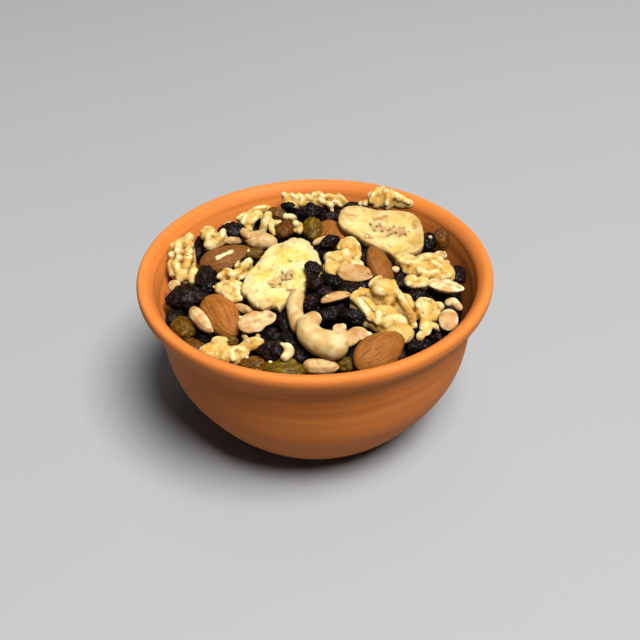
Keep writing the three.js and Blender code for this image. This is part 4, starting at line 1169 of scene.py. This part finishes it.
def make_mix():
    lay_pieces()
    lay_filling_raisins()
    height, shown = map_tops(*settle())
    set_detail(shown)
    lay_crumbs(height)
    peanut = nut_flesh("peanut_flesh", srgb(160, 128, 82), srgb(132, 88, 38), srgb(88, 50, 22))
    walnut = nut_flesh("walnut_flesh", srgb(172, 145, 84), srgb(156, 114, 42), srgb(82, 48, 16))
    cashew = nut_flesh("cashew_flesh", srgb(158, 132, 84), srgb(142, 104, 54), srgb(96, 58, 26), 0.2)
    bits = nut_flesh("crumb_flesh", PALE_FLESH, srgb(170, 146, 98), srgb(120, 80, 36))
    for kind, material in zip(KINDS, (raisin_skin(), sultana_skin(), almond_skin(), peanut, bits)):
        join(kind, material)
    make_kneaded("walnuts", 0.46, walnut, rounds=3, bumps=0.22)
    make_kneaded("cashews", 0.5, cashew, rounds=12, bumps=0.05)
    make_kneaded("peanut_flakes", 0.4, peanut, rounds=3, bumps=0.1)
    make_core()
    for item in SLICES:
        make_slice(item)


# ---- Stage, light and camera, in metres and degrees ----

FLOOR_HALF = 6.0
WORLD_STRENGTH = 0.09
LIGHT_TARGET = (0, 0, 0.06)
CAMERA_DISTANCE = 0.430
CAMERA_ELEVATION = 38.51
CAMERA_AIM = (0, 0, 0.040)
CAMERA_PAN, CAMERA_TILT, CAMERA_ROLL = 0.25, 1.04, 1.53
CAMERA_LENS = 50.35


def make_stage():
    mesh = bpy.data.meshes.new("floor")
    corners = [(FLOOR_HALF * x, FLOOR_HALF * y, 0) for x, y in ((-1, -1), (1, -1), (1, 1), (-1, 1))]
    mesh.from_pydata(corners, [], [(0, 1, 2, 3)])
    floor = bpy.data.objects.new("floor", mesh)
    bpy.context.scene.collection.objects.link(floor)
    g = Graph("pale_floor", Roughness=0.9, Specular_IOR_Level=0.1)
    mesh.materials.append(g.finish(g.mix(g.noise(1.5), (0.20, 0.20, 0.20), (0.22, 0.22, 0.22))))


def add_area(name, place, size, power):
    light = bpy.data.lights.new(name, "AREA")
    light.shape = "DISK"
    light.size = size
    light.energy = power
    obj = bpy.data.objects.new(name, light)
    bpy.context.scene.collection.objects.link(obj)
    obj.location = place
    obj.rotation_euler = (Vector(LIGHT_TARGET) - Vector(place)).to_track_quat("-Z", "Y").to_euler()


def make_light():
    scene = bpy.context.scene
    scene.world = bpy.data.worlds.new("studio")
    scene.world.use_nodes = True
    background = scene.world.node_tree.nodes["Background"]
    background.inputs["Color"].default_value = (1, 1, 1, 1)
    background.inputs["Strength"].default_value = WORLD_STRENGTH
    add_area("key", (0.76, -0.98, 2.84), size=1.5, power=284.0)
    add_area("top", (0.0, 0.8, 2.85), size=1.2, power=10.0)
    scene.view_settings.view_transform = "Standard"
    scene.view_settings.look = "None"
    scene.view_settings.exposure = 0.0


def swing(one, two, angle):
    """A pair of axes turned in their own plane, the first towards the second."""
    c, s = math.cos(math.radians(angle)), math.sin(math.radians(angle))
    return c * one + s * two, c * two - s * one


def make_camera():
    """The viewpoint: in front of the bowl, looking down at it."""
    right, forward, up = np.eye(3)
    forward, up = swing(forward, up, -CAMERA_ELEVATION)
    place = CAMERA_AIM - CAMERA_DISTANCE * forward
    forward, right = swing(forward, right, CAMERA_PAN)
    forward, up = swing(forward, up, CAMERA_TILT)
    right, up = swing(right, up, -CAMERA_ROLL)
    camera = bpy.data.cameras.new("camera")
    camera.sensor_width = 36.0
    camera.sensor_fit = "HORIZONTAL"
    camera.lens = CAMERA_LENS
    obj = bpy.data.objects.new("camera", camera)
    bpy.context.scene.collection.objects.link(obj)
    pose = np.eye(4)
    pose[:3] = np.column_stack([right, up, -forward, place])
    obj.matrix_world = Matrix(pose.tolist())
    bpy.context.scene.camera = obj


make_camera()
make_light()
make_stage()
make_bowl()
make_mix()
